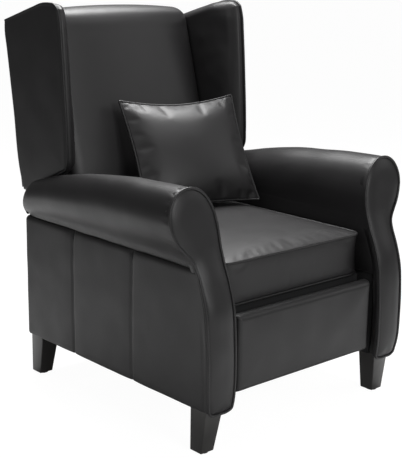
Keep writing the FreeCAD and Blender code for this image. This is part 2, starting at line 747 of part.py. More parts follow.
upper_links = []
for side_name, side in SIDES:
    name = side_name + "_upper_link"
    beside = link(name + "_bar", side, 4, pivot.elbow, pivot.toe, dim.link_half, free, free)
    ear = plate(name + "_ear", "YZ", *span(side, *layer(4)), [
        (dim.cross_y - 9, dim.cross_z + 4),
        (dim.cross_y + 1, dim.cross_z + 10),
        (dim.cross_y + 9, dim.cross_z + 4),
        (dim.elbow_y + 4, dim.elbow_z + 8),
        (dim.elbow_y - 34, dim.elbow_z + 34),
    ], {0: -2, 1: -2})
    bore = bar(name + "_bore", span(side, *layer(4)), pivot.cross, free)
    eye = bar(name + "_eye", span(side, *layer(4)), pivot.elbow, free)
    whole = fused(name + "_blank", [beside, ear])
    upper_links.append(cut(name, whole, fused(name + "_bores", [bore, eye])))
keep("upper_links", group("upper_links", upper_links))
keep("cross_pins", group("cross_pins", [
    stud(side_name + "_cross_pin", side, pivot.cross, 4, 5) for side_name, side in SIDES
]))

guide_length = math.hypot((dim.cross_y - dim.guide_pivot_y).value, (dim.cross_z - dim.guide_pivot_z).value)
tube_at = tuple(
    start + (end - start) * (dim.tube_along / guide_length)
    for start, end in zip(pivot.guide, pivot.cross)
)
guide_links = []
for side_name, side in SIDES:
    name = side_name + "_guide_link"
    beside = link(name + "_bar", side, 5, pivot.guide, pivot.cross, dim.slim_half + 1, free,
                  dim.pin_radius + dim.guide_slack)
    heel = link(name + "_heel", side, 5, pivot.cross, pivot.heel, dim.slim_half,
                dim.pin_radius + dim.guide_slack, free)
    bore = bar(name + "_bore", span(side, *layer(5)), pivot.cross, dim.pin_radius + dim.guide_slack)
    guide_links.append(cut(name, fused(name + "_blank", [beside, heel]), bore))
keep("guide_links", group("guide_links", guide_links))
keep("cross_tube", bar("cross_tube", (-layer(5)[0], layer(5)[0]), tube_at, dim.tube_radius))
keep("heel_pins", group("heel_pins", [
    rivet(side_name + "_heel_pin", side, pivot.heel, 5, 6) for side_name, side in SIDES
]))
keep("tie_links", group("tie_links", [
    link(side_name + "_tie_link", side, 6, pivot.heel, pivot.tie, dim.slim_half,
         dim.pin_radius + dim.tie_slack, free)
    for side_name, side in SIDES
]))

# Footrest: steel brackets, a plywood board and a crowned pad with rounded
# corners that closes the front of the chair.
board_back = dim.footrest_face + dim.pad_thick + dim.footrest_board
footrest_brackets = []
for side_name, side in SIDES:
    name = side_name + "_footrest_bracket"
    points = [
        (board_back, dim.toe_z - dim.bracket_below),
        (board_back + 10, dim.toe_z - dim.bracket_below),
        (dim.tie_y + 2, dim.tie_z - 14),
        (dim.tie_y + 12, dim.tie_z - 3),
        (dim.tie_y + 8, dim.tie_z + 10),
        (dim.toe_y + 8, dim.toe_z + 14),
        (board_back + 8, dim.toe_z + dim.bracket_above),
        (board_back, dim.toe_z + dim.bracket_above),
    ]
    bows = {2: 2, 3: 2, 4: 1}
    holes = [pivot.toe + (free,), pivot.tie + (free,)]
    web = plate(name + "_web", "YZ", *span(side, *layer(5)), points, bows, holes)
    flange = block(name + "_flange", span(side, footrest_half - dim.flange_wide, layer(5)[0]),
                   (board_back, board_back + dim.steel),
                   (dim.toe_z - dim.bracket_below, dim.toe_z + dim.bracket_above))
    footrest_brackets.append(fused(name, [web, flange]))
keep("footrest_brackets", group("footrest_brackets", footrest_brackets))
footrest_pins = []
for side_name, side in SIDES:
    footrest_pins.append(rivet(side_name + "_toe_pin", side, pivot.toe, 4, 5, head_inside=False))
    footrest_pins.append(rivet(side_name + "_tie_pin", side, pivot.tie, 5, 6))
keep("footrest_pins", group("footrest_pins", footrest_pins))
keep("footrest_board", block("footrest_board", (-footrest_half + 8, footrest_half - 8),
                             (board_back - dim.footrest_board, board_back),
                             (dim.footrest_low + 6, dim.footrest_high - 6)))


def pillow_ring(left, right, low, high, corner, bow):
    """A rectangle with rounded corners and sides that bow out."""
    points = [
        (left + corner, low), (right - corner, low),
        (right, low + corner), (right, high - corner),
        (right - corner, high), (left + corner, high),
        (left, high - corner), (left, low + corner),
    ]
    bows = {i: (bow if i % 2 == 0 else corner * 0.2929) for i in range(8)}
    return chords(points, bows, 3), None


def inset_ring(half, low, high, inset, corner, bow=0):
    return pillow_ring(-half + inset, half - inset, low + inset, high - inset, corner, bow)


# Inset of each ring of the pad, and its share of the thickness from the back.
PAD_RINGS = ((2, 0.0, 10), (0, 0.14, 12), (0, 0.60, 12), (3, 0.82, 14), (14, 0.95, 22), (36, 1.0, 34))
pad_back = dim.footrest_face + dim.pad_thick
keep("footrest_pad", loft("footrest_pad", "XZ", [
    (pad_back - dim.pad_thick * share,)
    + inset_ring(footrest_half, dim.footrest_low, dim.footrest_high, inset, corner)
    for inset, share, corner in PAD_RINGS
], ruled=True))

# Seat frame: four hardwood rails with elastic webbing stretched over them.
seat_zs = (dim.seat_rail_low, dim.seat_rail_high)
keep("seat_front_rail", block("seat_front_rail", (-seat_half, seat_half),
                              (dim.seat_front, dim.seat_front + dim.seat_rail_wide), seat_zs))
keep("seat_rear_rail", block("seat_rear_rail", (-seat_half, seat_half),
                             (dim.seat_rear - dim.seat_rail_wide, dim.seat_rear), seat_zs))
keep("seat_side_rails", group("seat_side_rails", [
    block(side_name + "_seat_side_rail", span(side, seat_half - dim.seat_rail_wide, seat_half),
          (dim.seat_front + dim.seat_rail_wide, dim.seat_rear - dim.seat_rail_wide), seat_zs)
    for side_name, side in SIDES
]))
WEB_COUNT = 4
web_pitch = 2 * (seat_half - dim.seat_rail_wide) / WEB_COUNT
keep("lengthwise_webbing", group("lengthwise_webbing", [
    block("long_web_%d" % i,
          (web_pitch * (i - 1.5) - dim.web_wide / 2, web_pitch * (i - 1.5) + dim.web_wide / 2),
          (dim.seat_front + 4, dim.seat_rear - 4), (dim.seat_rail_high, dim.seat_rail_high + dim.web_thick))
    for i in range(WEB_COUNT)
]))
CROSS_COUNT = 5
cross_pitch = (dim.seat_rear - dim.seat_front) / (CROSS_COUNT + 0.5)
keep("crosswise_webbing", group("crosswise_webbing", [
    block("cross_web_%d" % i, (-seat_half + 4, seat_half - 4),
          (dim.seat_front + cross_pitch * (i + 0.75) - dim.web_wide / 2,
           dim.seat_front + cross_pitch * (i + 0.75) + dim.web_wide / 2),
          (dim.seat_rail_high + dim.web_thick, dim.seat_rail_high + 2 * dim.web_thick))
    for i in range(CROSS_COUNT)
]))

# Seat cushion: a box cushion whose boxing draws in between its two welts,
# with a crowned top.
cushion_low = dim.seat_rail_high + 2 * dim.web_thick
CUSHION_RINGS = ((4, 0.0, 24), (0, 0.06, 26), (4, 0.5, 26), (0, 1.0, 26))
CROWN_RINGS = ((0, 0.0, 26), (14, 0.40, 34), (40, 0.72, 54), (85, 0.92, 80), (150, 1.0, 80))


def seat_ring(inset, corner, bow):
    return pillow_ring(-cushion_half + inset, cushion_half - inset,
                       dim.cushion_front + inset, dim.cushion_rear - inset, corner, bow)


seat_body = loft("seat_boxing", "XY", [
    (cushion_low + (dim.cushion_seam - cushion_low) * share,) + seat_ring(inset, corner, 0)
    for inset, share, corner in CUSHION_RINGS
], ruled=True)
crown = loft("seat_crown", "XY", [
    (dim.cushion_seam + dim.cushion_crown * share,) + seat_ring(inset, corner, 0)
    for inset, share, corner in CROWN_RINGS
], ruled=True)
keep("seat_cushion", fused("seat_cushion", [seat_body, crown]))

# Back frame: two shaped posts, joined by rails, on steel brackets that swing
# on the base plates. Above the arms the rails reach out to the wing boards.
rail_top = dim.back_top - dim.rail_drop
post_top = rail_top - dim.back_rail
back_high = rail_top + dim.panel_rise
rear_lean = (dim.back_high_y - dim.back_low_y) / (back_high - dim.back_low_z)


def rear_at(height, depth=0):
    """Y of the rear face of the back at a height, or that far inside it."""
    return dim.back_low_y + (height - dim.back_low_z) * rear_lean - depth


post_rear = dim.back_skin
post_front = dim.back_skin + dim.post_deep
KICK_FRONT = 48
foot_rear = dim.recline_y + KICK_FRONT
foot_front = dim.recline_y - 10
KICK_HEIGHT = 22
SHIN_HEIGHT = 60
post_outer = layer(4)[0]
post_inner = post_outer - dim.post_wide
BRACKET_BOLTS = ((20, 42), (52, 100))
bracket_bolts = [(dim.recline_y + y, dim.recline_z + z) for y, z in BRACKET_BOLTS]
shin_z = dim.back_foot + SHIN_HEIGHT


def front_at(height):
    """Y of the front edge of the posts at a height."""
    low_y, low_z = foot_front, shin_z
    bend_y, bend_z = rear_at(dim.back_low_z, post_front), dim.back_low_z
    if Size.of(height).value < bend_z.value:
        return low_y + (bend_y - low_y) * ((height - low_z) / (bend_z - low_z))
    return rear_at(height, post_front)


back_half = post_outer - dim.close_gap
keep("back_posts", group("back_posts", [
    plate(side_name + "_back_post", "YZ", *span(side, post_inner, post_outer), [
        (foot_front, dim.back_foot),
        (foot_rear, dim.back_foot),
        (foot_rear, dim.back_foot + KICK_HEIGHT),
        (rear_at(dim.back_low_z, post_rear), dim.back_low_z),
        (rear_at(post_top, post_rear), post_top),
        (rear_at(post_top, post_front), post_top),
        (rear_at(dim.back_low_z, post_front), dim.back_low_z),
        (foot_front, shin_z),
    ], None, [place + (dim.bolt_radius + dim.running,) for place in bracket_bolts])
    for side_name, side in SIDES
]))

keep("back_top_rail", plate("back_top_rail", "YZ", -dim.wing_inner, dim.wing_inner, [
    (rear_at(post_top, post_front), post_top),
    (rear_at(post_top, post_rear), post_top),
    (rear_at(rail_top, post_rear), rail_top),
    (rear_at(rail_top, post_front), rail_top),
]))
MID_RAIL_LOW = 560
cross_rails = [block("back_bottom_rail", (-post_inner, post_inner), (foot_front + 8, foot_rear - 4),
                     (dim.back_foot + 4, dim.back_foot + 4 + dim.back_rail))]
cross_rails.append(plate("back_middle_rail", "YZ", -post_inner, post_inner, [
    (rear_at(MID_RAIL_LOW, post_front), MID_RAIL_LOW),
    (rear_at(MID_RAIL_LOW, post_rear), MID_RAIL_LOW),
    (rear_at(MID_RAIL_LOW + dim.back_rail, post_rear), MID_RAIL_LOW + dim.back_rail),
    (rear_at(MID_RAIL_LOW + dim.back_rail, post_front), MID_RAIL_LOW + dim.back_rail),
]))
keep("back_cross_rails", group("back_cross_rails", cross_rails))
keep("wing_spreaders", group("wing_spreaders", [
    plate(side_name + "_wing_spreader", "YZ", *span(side, post_outer, dim.wing_inner), [
        (rear_at(MID_RAIL_LOW, post_front - 15), MID_RAIL_LOW),
        (rear_at(MID_RAIL_LOW, post_rear), MID_RAIL_LOW),
        (rear_at(MID_RAIL_LOW + dim.back_rail, post_rear), MID_RAIL_LOW + dim.back_rail),
        (rear_at(MID_RAIL_LOW + dim.back_rail, post_front - 15), MID_RAIL_LOW + dim.back_rail),
    ])
    for side_name, side in SIDES
]))

BRACKET_END = (60, 128)
keep("back_brackets", group("back_brackets", [
    link(side_name + "_back_bracket", side, 4, pivot.recline,
         (dim.recline_y + BRACKET_END[0], dim.recline_z + BRACKET_END[1]), dim.link_half + 6,
         dim.recline_pin + dim.running, free,
         [place + (dim.bolt_radius + dim.running,) for place in bracket_bolts])
    for side_name, side in SIDES
]))
keep("bracket_bolts", group("bracket_bolts", [
    fused("%s_bracket_bolt_%d" % (side_name, i), [
        bar("%s_bolt_%d" % (side_name, i), span(side, post_inner, layer(4)[1] + 0.2), place, dim.bolt_radius),
        bar("%s_bolt_%d_head" % (side_name, i), span(side, layer(4)[1] + 0.2, layer(4)[1] + 2.2), place,
            dim.bolt_radius + 4),
    ])
    for side_name, side in SIDES for i, place in enumerate(bracket_bolts)
]))

# Outside back: a padded panel over the rear of the frame. Between the arms it
# turns forward into the base, so that the reclining back clears the rear panel.
KICK_SKIN = 8
wide_back = plate("wide_back", "YZ", -dim.wing_inner - dim.wing_board, dim.wing_inner + dim.wing_board, [
    (rear_at(dim.back_low_z, dim.back_skin), dim.back_low_z),
    (rear_at(dim.back_low_z), dim.back_low_z),
    (rear_at(back_high), back_high),
    (rear_at(back_high, dim.back_skin), back_high),
])
kick_back = plate("kick_back", "YZ", -post_outer, post_outer, [
    (foot_rear, dim.back_foot),
    (foot_rear + KICK_SKIN, dim.back_foot),
    (foot_rear + KICK_SKIN, dim.back_foot + KICK_HEIGHT - 2),
    (rear_at(dim.back_low_z), dim.back_low_z),
    (rear_at(dim.back_low_z, dim.back_skin), dim.back_low_z),
    (foot_rear, dim.back_foot + KICK_HEIGHT),
])
keep("outside_back", fused("outside_back", [wide_back, kick_back]))

# Back cushion: crowned across and leaning back, with a roll over the top rail.
BACK_HEIGHTS = (0.0, 0.09, 0.32, 0.55, 0.78, 1.0)


def back_section(height, half, front, rear, crown_rise):
    """A section of the back cushion: straight behind and crowned in front."""
    points = [(-half, front + crown_rise), (half, front + crown_rise), (half, rear), (-half, rear)]
    return (height, chords(points, {0: crown_rise}, 8), None)


def back_face(height):
    return dim.back_front_y + (height - dim.back_cushion_low) * dim.back_slope


lower_runs = []
for share in BACK_HEIGHTS:
    height = dim.back_cushion_low + (rail_top - dim.back_cushion_low) * share
    front = back_face(height) + (14 if share == 0.0 else 0)
    lower_runs.append(back_section(height, back_half, front, front_at(height), dim.back_crown))
lower_back = loft("lower_back_cushion", "XY", lower_runs, ruled=True)
# Share of the rise above the top rail, half width and edge setbacks there.
TOP_RINGS = ((0.0, 0, 0, 10, 26), (0.28, 6, 2, 12, 24), (0.58, 20, 10, 26, 18),
             (0.82, 42, 22, 44, 12), (1.0, 90, 40, 78, 8))
top_runs = []
for share, narrow, front_set, rear_set, crown_rise in TOP_RINGS:
    height = rail_top + (dim.back_top - rail_top) * share
    top_runs.append(back_section(height, back_half - narrow, back_face(rail_top) + front_set,
                                 rear_at(rail_top) - rear_set, crown_rise))
upper_back = loft("upper_back_cushion", "XY", top_runs, ruled=True)
keep("back_cushion", fused("back_cushion", [lower_back, upper_back]))


# Wings: a plywood board between a thin outer panel and a thick inner pad
# that runs into the crease beside the back cushion.
def wing_outline(depth=0):
    points = [
        (dim.wing_front_low, dim.wing_foot),
        (dim.wing_front_low + 16, dim.wing_foot - 12),
        (rear_at(dim.back_low_z, depth) - 18, dim.back_low_z),
        (rear_at(dim.back_low_z + 13, depth), dim.back_low_z + 13),
        (rear_at(back_high - 6, depth), back_high - 6),
        (rear_at(back_high, depth) - 8, back_high + 6),
        (dim.wing_front_high + 66, dim.wing_top - 1),
        (dim.wing_front_high + 42, dim.wing_top - 2),
        (dim.wing_front_high, dim.wing_top - 40),
    ]
    bows = {0: 4, 1: -9, 2: 5, 4: 3, 6: 0.5, 7: 13, 8: -5}
    return points, bows


def crease_at(height):
    return back_face(height) + dim.back_crown + 10


PAD_LOW, PAD_HIGH = 500, 1030
front_lean = (dim.wing_front_high - dim.wing_front_low) / (dim.wing_top - dim.wing_foot)
for side_name, side in SIDES:
    points, bows = wing_outline()
    board_outer = dim.wing_inner + dim.wing_board
    keep(side_name + "_wing_panel", plate(side_name + "_wing_panel", "YZ",
                                          *span(side, board_outer, board_outer + dim.wing_skin), points, bows))
    name = side_name + "_wing_pad"
    runs = []
    for height in (PAD_LOW, PAD_HIGH):
        front = dim.wing_front_low + (height - dim.wing_foot) * front_lean - 8
        corners = [
            (dim.wing_inner, front),
            (dim.wing_inner, rear_at(height, dim.back_skin)),
            (post_outer + dim.close_gap, rear_at(height, dim.back_skin)),
            (post_outer + dim.close_gap, crease_at(height)),
            (dim.wing_inner - 20, front + 10),
        ]
        runs.append((height, chords(mirrored(side, corners), {3: side * 8}, 4), None))
    blank = loft(name + "_blank", "XY", runs, ruled=True)
    trim = plate(name + "_trim", "YZ", *span(side, post_outer - 20, dim.wing_inner), points, bows)
    seat = fused(name + "_seats", [
        plate(name + "_spreader_seat", "YZ", *span(side, post_outer - 20, dim.wing_inner), [
            (rear_at(MID_RAIL_LOW, post_front - 15), MID_RAIL_LOW),
            (rear_at(MID_RAIL_LOW, post_rear), MID_RAIL_LOW),
            (rear_at(MID_RAIL_LOW + dim.back_rail, post_rear), MID_RAIL_LOW + dim.back_rail),
            (rear_at(MID_RAIL_LOW + dim.back_rail, post_front - 15), MID_RAIL_LOW + dim.back_rail),
        ]),
        plate(name + "_rail_seat", "YZ", *span(side, post_outer - 20, dim.wing_inner), [
            (rear_at(post_top, post_front), post_top),
            (rear_at(post_top, post_rear), post_top),
            (rear_at(rail_top, post_rear), rail_top),
            (rear_at(rail_top, post_front), rail_top),
        ]),
    ])
    keep(name, cut(name, common(name + "_shaped", blank, trim), seat))
points, bows = wing_outline(dim.back_skin)
keep("wing_boards", group("wing_boards", [
    plate(side_name + "_wing_board", "YZ", *span(side, dim.wing_inner, dim.wing_inner + dim.wing_board),
          points, bows)
    for side_name, side in SIDES
]))

# Pillow: a knife-edge pillow that leans on the back, fuller in the middle.
PILLOW_RINGS = ((0.52, -1.0), (0.80, -0.72), (0.94, -0.34), (1.0, 0.0),
                (0.94, 0.34), (0.80, 0.72), (0.52, 1.0))
pillow_runs = []
for scale, share in PILLOW_RINGS:
    half_wide = dim.pillow_wide / 2 * scale
    half_high = dim.pillow_high / 2 * scale
    points, bows = pillow_ring(-half_wide, half_wide, -half_high, half_high, half_high * 0.24, 0)
    pillow_runs.append((dim.pillow_half * share, points, bows))
pillow = loft("pillow", "XZ", pillow_runs, ruled=True)
pillow.Placement = Placement(
    Vector(),
    Rotation(Vector(0, 0, 1), -dim.pillow_yaw.value) * Rotation(Vector(1, 0, 0), -dim.pillow_tilt.value),
)
for axis, size in zip("xyz", (dim.pillow_x, dim.pillow_y, dim.pillow_z)):
    bind(pillow, "Placement.Base." + axis, size)
keep("pillow", pillow)

doc.recompute()
for thing in doc.Objects:
    bad = [state for state in thing.State if state in ("Invalid", "Error")]
    if bad:
        raise RuntimeError("%s (%s) is %s" % (thing.Name, thing.Label, bad))
for node, thing in NODES.items():
    if thing.Shape.isNull() or not thing.Shape.isValid() or not thing.Shape.Solids:
        raise RuntimeError("%s has no valid solid" % node)

os.makedirs("parts", exist_ok=True)
whole = FreeCAD.BoundBox()
for node, thing in NODES.items():
    thing.Shape.exportStep("parts/%s.step" % node)
    whole.add(thing.Shape.BoundBox)
print("%d nodes, X %.1f to %.1f, Y %.1f to %.1f, Z %.1f to %.1f" % (
    len(NODES), whole.XMin, whole.XMax, whole.YMin, whole.YMax, whole.ZMin, whole.ZMax))
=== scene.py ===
import math

import bmesh
import bpy
import numpy as np
from mathutils import Matrix, Vector, noise


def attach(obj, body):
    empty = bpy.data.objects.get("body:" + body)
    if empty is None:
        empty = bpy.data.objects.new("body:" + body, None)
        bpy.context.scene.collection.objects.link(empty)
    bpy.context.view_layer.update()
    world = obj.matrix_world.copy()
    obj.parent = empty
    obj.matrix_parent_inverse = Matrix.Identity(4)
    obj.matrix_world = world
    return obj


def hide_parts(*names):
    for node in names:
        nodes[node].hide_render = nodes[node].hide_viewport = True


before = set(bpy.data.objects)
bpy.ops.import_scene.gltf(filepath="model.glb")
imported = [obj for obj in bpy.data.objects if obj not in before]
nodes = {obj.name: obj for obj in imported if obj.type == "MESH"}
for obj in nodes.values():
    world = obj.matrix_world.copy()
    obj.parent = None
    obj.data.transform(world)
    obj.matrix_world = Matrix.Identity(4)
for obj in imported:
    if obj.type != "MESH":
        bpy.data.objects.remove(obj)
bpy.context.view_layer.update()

# Legs: four square tapered hardwood feet, black stain under a satin lacquer,
# with eased edges. Each is screwed up into its arm on a steel hanger bolt.


class Shade:
    """A socket in a material's tree. Arithmetic on it adds Math nodes."""

    def __init__(self, tree, socket=None):
        self.tree = tree
        self.socket = socket

    def node(self, kind, settings=None, inputs=None, output=0):
        made = self.tree.nodes.new("ShaderNode" + kind)
        for key, value in (settings or {}).items():
            setattr(made, key, value)
        for key, value in (inputs or {}).items():
            if isinstance(value, Shade):
                self.tree.links.new(value.socket, made.inputs[key])
            else:
                made.inputs[key].default_value = value
        return Shade(self.tree, made.outputs[output])

    def maths(self, operation, first, second=0.0):
        return self.node("Math", {"operation": operation}, {0: first, 1: second})

    def __add__(self, other):
        return self.maths("ADD", self, other)

    def __radd__(self, other):
        return self.maths("ADD", other, self)

    def __sub__(self, other):
        return self.maths("SUBTRACT", self, other)

    def __rsub__(self, other):
        return self.maths("SUBTRACT", other, self)

    def __mul__(self, other):
        return self.maths("MULTIPLY", self, other)

    def __rmul__(self, other):
        return self.maths("MULTIPLY", other, self)

    def blend(self, dark, light):
        """The colour that far from dark to light."""
        settings = {"data_type": "RGBA"}
        return self.node("Mix", settings, {0: self, 6: dark, 7: light}, output=2)

    def stretched(self, scale):
        """Object coordinates, scaled along x, y and z."""
        place = self.node("TexCoord", output=3)
        return self.node("Mapping", None, {"Vector": place, "Scale": scale})

    def cloud(self, scale, detail=3.0, rough=0.5, stretch=(1, 1, 1), twist=0.0):
        inputs = {"Vector": self.stretched(stretch), "Scale": scale, "Detail": detail,
                  "Roughness": rough, "Distortion": twist}
        return self.node("TexNoise", None, inputs)

    def relief(self, height, depth, under=None):
        """A bump of that height field, depth metres deep."""
        inputs = {"Height": height, "Distance": depth, "Strength": 1.0}
        if under is not None:
            inputs["Normal"] = under
        return self.node("Bump", None, inputs)


def finish(name, recipe):
    """A material from a recipe that returns the surface's own sockets."""
    material = bpy.data.materials.new(name)
    material.use_nodes = True
    tree = material.node_tree
    tree.nodes.clear()
    shade = Shade(tree)
    surface = shade.node("BsdfPrincipled", None, recipe(shade))
    out = tree.nodes.new("ShaderNodeOutputMaterial")
    tree.links.new(surface.socket, out.inputs["Surface"])
    return material


def dress(names, material):
    """Puts a material on CAD nodes."""
    for name in names:
        slots = nodes[name].material_slots
        if len(slots):
            for slot in slots:
                slot.material = material
        else:
            nodes[name].data.materials.append(material)


def lacquered_wood(shade):
    grain = shade.cloud(90.0, 5.0, 0.6, (1, 1, 0.06), 0.4)
    smudge = shade.cloud(14.0, 2.0)
    return {
        "Base Color": grain.blend((0.010, 0.0095, 0.009, 1), (0.022, 0.020, 0.018, 1)),
        "Roughness": 0.33 + 0.16 * smudge,
        "Normal": shade.relief(grain, 0.00025),
        "Coat Weight": 0.25,
        "Coat Roughness": 0.3,
    }


def object_from(name, mesh, body, material):
    """An object for a finished mesh, riding on a body."""
    mesh.materials.clear()
    mesh.materials.append(material)
    piece = bpy.data.objects.new(name, mesh)
    bpy.context.scene.collection.objects.link(piece)
    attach(piece, body)
    return piece


leg_lacquer = finish("leg_lacquer", lacquered_wood)
leg_outside = 329
leg_foot, leg_top = (3.0, 40.0), (115.0, 55.0)
for side_name, side in (("left", -1), ("right", 1)):
    for end_name, back in (("front", -355.0), ("rear", 317.0)):
        mesh = bpy.data.meshes.new(side_name + "_" + end_name + "_foot")
        work = bmesh.new()
        rings = []
        for height, thick in (leg_foot, leg_top):
            inside, front = leg_outside - thick, back - thick
            rings.append([work.verts.new((side * x / 1000, y / 1000, height / 1000)) for x, y in (
                (inside, front), (leg_outside, front), (leg_outside, back), (inside, back))])
        for i in range(4):
            work.faces.new((rings[0][i], rings[0][i - 1], rings[1][i - 1], rings[1][i]))
        work.faces.new(rings[0])
        work.faces.new(rings[1][::-1])
        upright = [e for e in work.edges if abs(e.verts[0].co.z - e.verts[1].co.z) > 0.05]
        foot = [e for e in work.edges if max(v.co.z for v in e.verts) < 0.01]
        bmesh.ops.bevel(work, geom=upright + foot, offset=0.0022, segments=3, affect="EDGES", profile=0.5)
        bmesh.ops.recalc_face_normals(work, faces=work.faces)
        work.to_mesh(mesh)
        work.free()
        mesh.shade_smooth()
        mesh.set_sharp_from_angle(angle=math.radians(50))
        leg = object_from(mesh.name, mesh, "base", leg_lacquer)
        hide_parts(side_name + "_" + end_name + "_leg")

# Glides and bolts: moulded plastic discs pressed into the feet, and the
# zinc-plated hanger bolts that hold the legs.


def moulded_plastic(shade):
    grain = shade.cloud(900.0, 2.0)
    return {
        "Base Color": shade.cloud(30.0).blend((0.03, 0.03, 0.03, 1), (0.045, 0.044, 0.043, 1)),
        "Roughness": 0.5 + 0.15 * grain,
        "Normal": shade.relief(grain, 0.00006),
    }


def zinc_plate(shade):
    streak = shade.cloud(160.0, 4.0, 0.6, (1, 0.08, 0.08))
    bloom = shade.cloud(24.0, 4.0, 0.65)
    return {
        "Base Color": bloom.blend((0.36, 0.37, 0.39, 1), (0.56, 0.57, 0.58, 1)),
        "Metallic": 1.0,
        "Roughness": 0.28 + 0.2 * bloom + 0.08 * streak,
        "Normal": shade.relief(streak, 0.00004),
    }


dress(["leg_glides"], finish("glide_plastic", moulded_plastic))
bright_zinc = finish("bright_zinc", zinc_plate)
dress(["leg_bolts", "bracket_bolts"], bright_zinc)

# Frame: beech rails, planed and left bare, and plywood boards. The arm frames,
# the seat's front rail, the footrest board and the back's posts and spreaders
# are lined in black cloth, because they show past the covers.


def planed_wood(shade):
    rings = shade.node("TexWave", {"wave_type": "RINGS", "rings_direction": "Y"}, {
        "Vector": shade.stretched((1, 0.12, 1)), "Scale": 26.0, "Distortion": 6.0,
        "Detail": 3.0, "Detail Scale": 1.4}, output=1)
    pores = shade.cloud(420.0, 3.0, 0.6, (1, 0.06, 0.3))
    tone = 0.7 * rings + 0.3 * pores
    return {
        "Base Color": tone.blend((0.34, 0.20, 0.10, 1), (0.56, 0.39, 0.23, 1)),
        "Roughness": 0.55 + 0.2 * pores,
        "Normal": shade.relief(pores, 0.0003),
    }


def plywood(shade):
    plies = shade.node("TexWave", {"wave_type": "BANDS", "bands_direction": "X"}, {
        "Vector": shade.stretched((1, 1, 1)), "Scale": 110.0, "Distortion": 0.3,
        "Detail": 2.0}, output=1)
    figure = shade.cloud(18.0, 5.0, 0.6, (1, 0.15, 1), 1.5)
    tone = 0.35 * plies + 0.65 * figure
    return {
        "Base Color": tone.blend((0.36, 0.24, 0.14, 1), (0.63, 0.47, 0.30, 1)),
        "Roughness": 0.6 + 0.2 * figure,
        "Normal": shade.relief(figure, 0.0003),
    }


def lining_cloth(shade):
    dots = shade.node("TexVoronoi", {"feature": "F1"}, {
        "Vector": shade.stretched((1, 1, 1)), "Scale": 480.0, "Randomness": 0.25})
    fibre = shade.cloud(260.0, 4.0, 0.7)
    return {
        "Base Color": fibre.blend((0.012, 0.012, 0.012, 1), (0.024, 0.024, 0.025, 1)),
        "Roughness": 0.86 + 0.1 * fibre,
        "Normal": shade.relief(0.6 * dots + 0.4 * fibre, 0.0003),
        "Specular IOR Level": 0.25,
    }


beech = finish("planed_beech", planed_wood)
board = finish("birch_plywood", plywood)
lining_black = finish("black_lining", lining_cloth)
dress(["wing_boards"], board)
dress(["left_arm_frame", "right_arm_frame", "seat_front_rail", "footrest_board",
       "back_posts", "wing_spreaders"], lining_black)
dress(["base_front_rail", "base_rear_rail", "seat_rear_rail", "seat_side_rails",
       "back_top_rail", "back_cross_rails"], beech)

# Outer side panels: black faux leather over thin foam on each arm, sewn from
# three widths with two upright seams, turned under below and round the rear.


def spread(count, ends=0.6):
    """Fractions from 0 to 1 that lie closer together near both ends."""
    even = np.linspace(0, 1, count)
    return (1 - ends) * even + ends * (0.5 - 0.5 * np.cos(np.pi * even))


def trace(points, fractions):
    """Places at those fractions of the length of a smooth curve through points."""
    p = np.asarray(points, float)
    h = np.maximum(np.linalg.norm(np.diff(p, axis=0), axis=1), 1e-6)
    chord = np.r_[0, np.cumsum(h)]
    run = np.diff(p, axis=0) / h[:, None]
    ahead = np.vstack([run, run[-1:]])
    behind = np.vstack([run[:1], run])
    h_ahead = np.r_[h, h[-1]][:, None]
    h_behind = np.r_[h[0], h][:, None]
    slope = (behind * h_ahead + ahead * h_behind) / (h_ahead + h_behind)
    fine = np.linspace(0, chord[-1], 40 * len(h) + 1)
    i = np.clip(np.searchsorted(chord, fine, side="right") - 1, 0, len(h) - 1)
    s = ((fine - chord[i]) / h[i])[:, None]
    long = h[i][:, None]
    q = ((2 * s**3 - 3 * s**2 + 1) * p[i] + (s**3 - 2 * s**2 + s) * long * slope[i]
         + (3 * s**2 - 2 * s**3) * p[i + 1] + (s**3 - s**2) * long * slope[i + 1])
    gone = np.r_[0, np.cumsum(np.linalg.norm(np.diff(q, axis=0), axis=1))]
    at = np.asarray(fractions) * gone[-1]
    return np.stack([np.interp(at, gone, q[:, k]) for k in range(p.shape[1])], axis=1)


def table(points):
    """A smooth function of the second column that gives the first."""
    line = trace(points, np.linspace(0, 1, 400))
    return lambda height: np.interp(height, line[:, 1], line[:, 0])


def ripples(points, size, depth, seed=0.0):
    """Gentle unevenness of leather over foam, at points in millimetres."""
    flat = points.reshape(-1, 3) / size
    values = [noise.noise((x + seed, y + 3.7 * seed, z)) for x, y, z in flat]
    return np.array(values).reshape(points.shape[:-1]) * depth


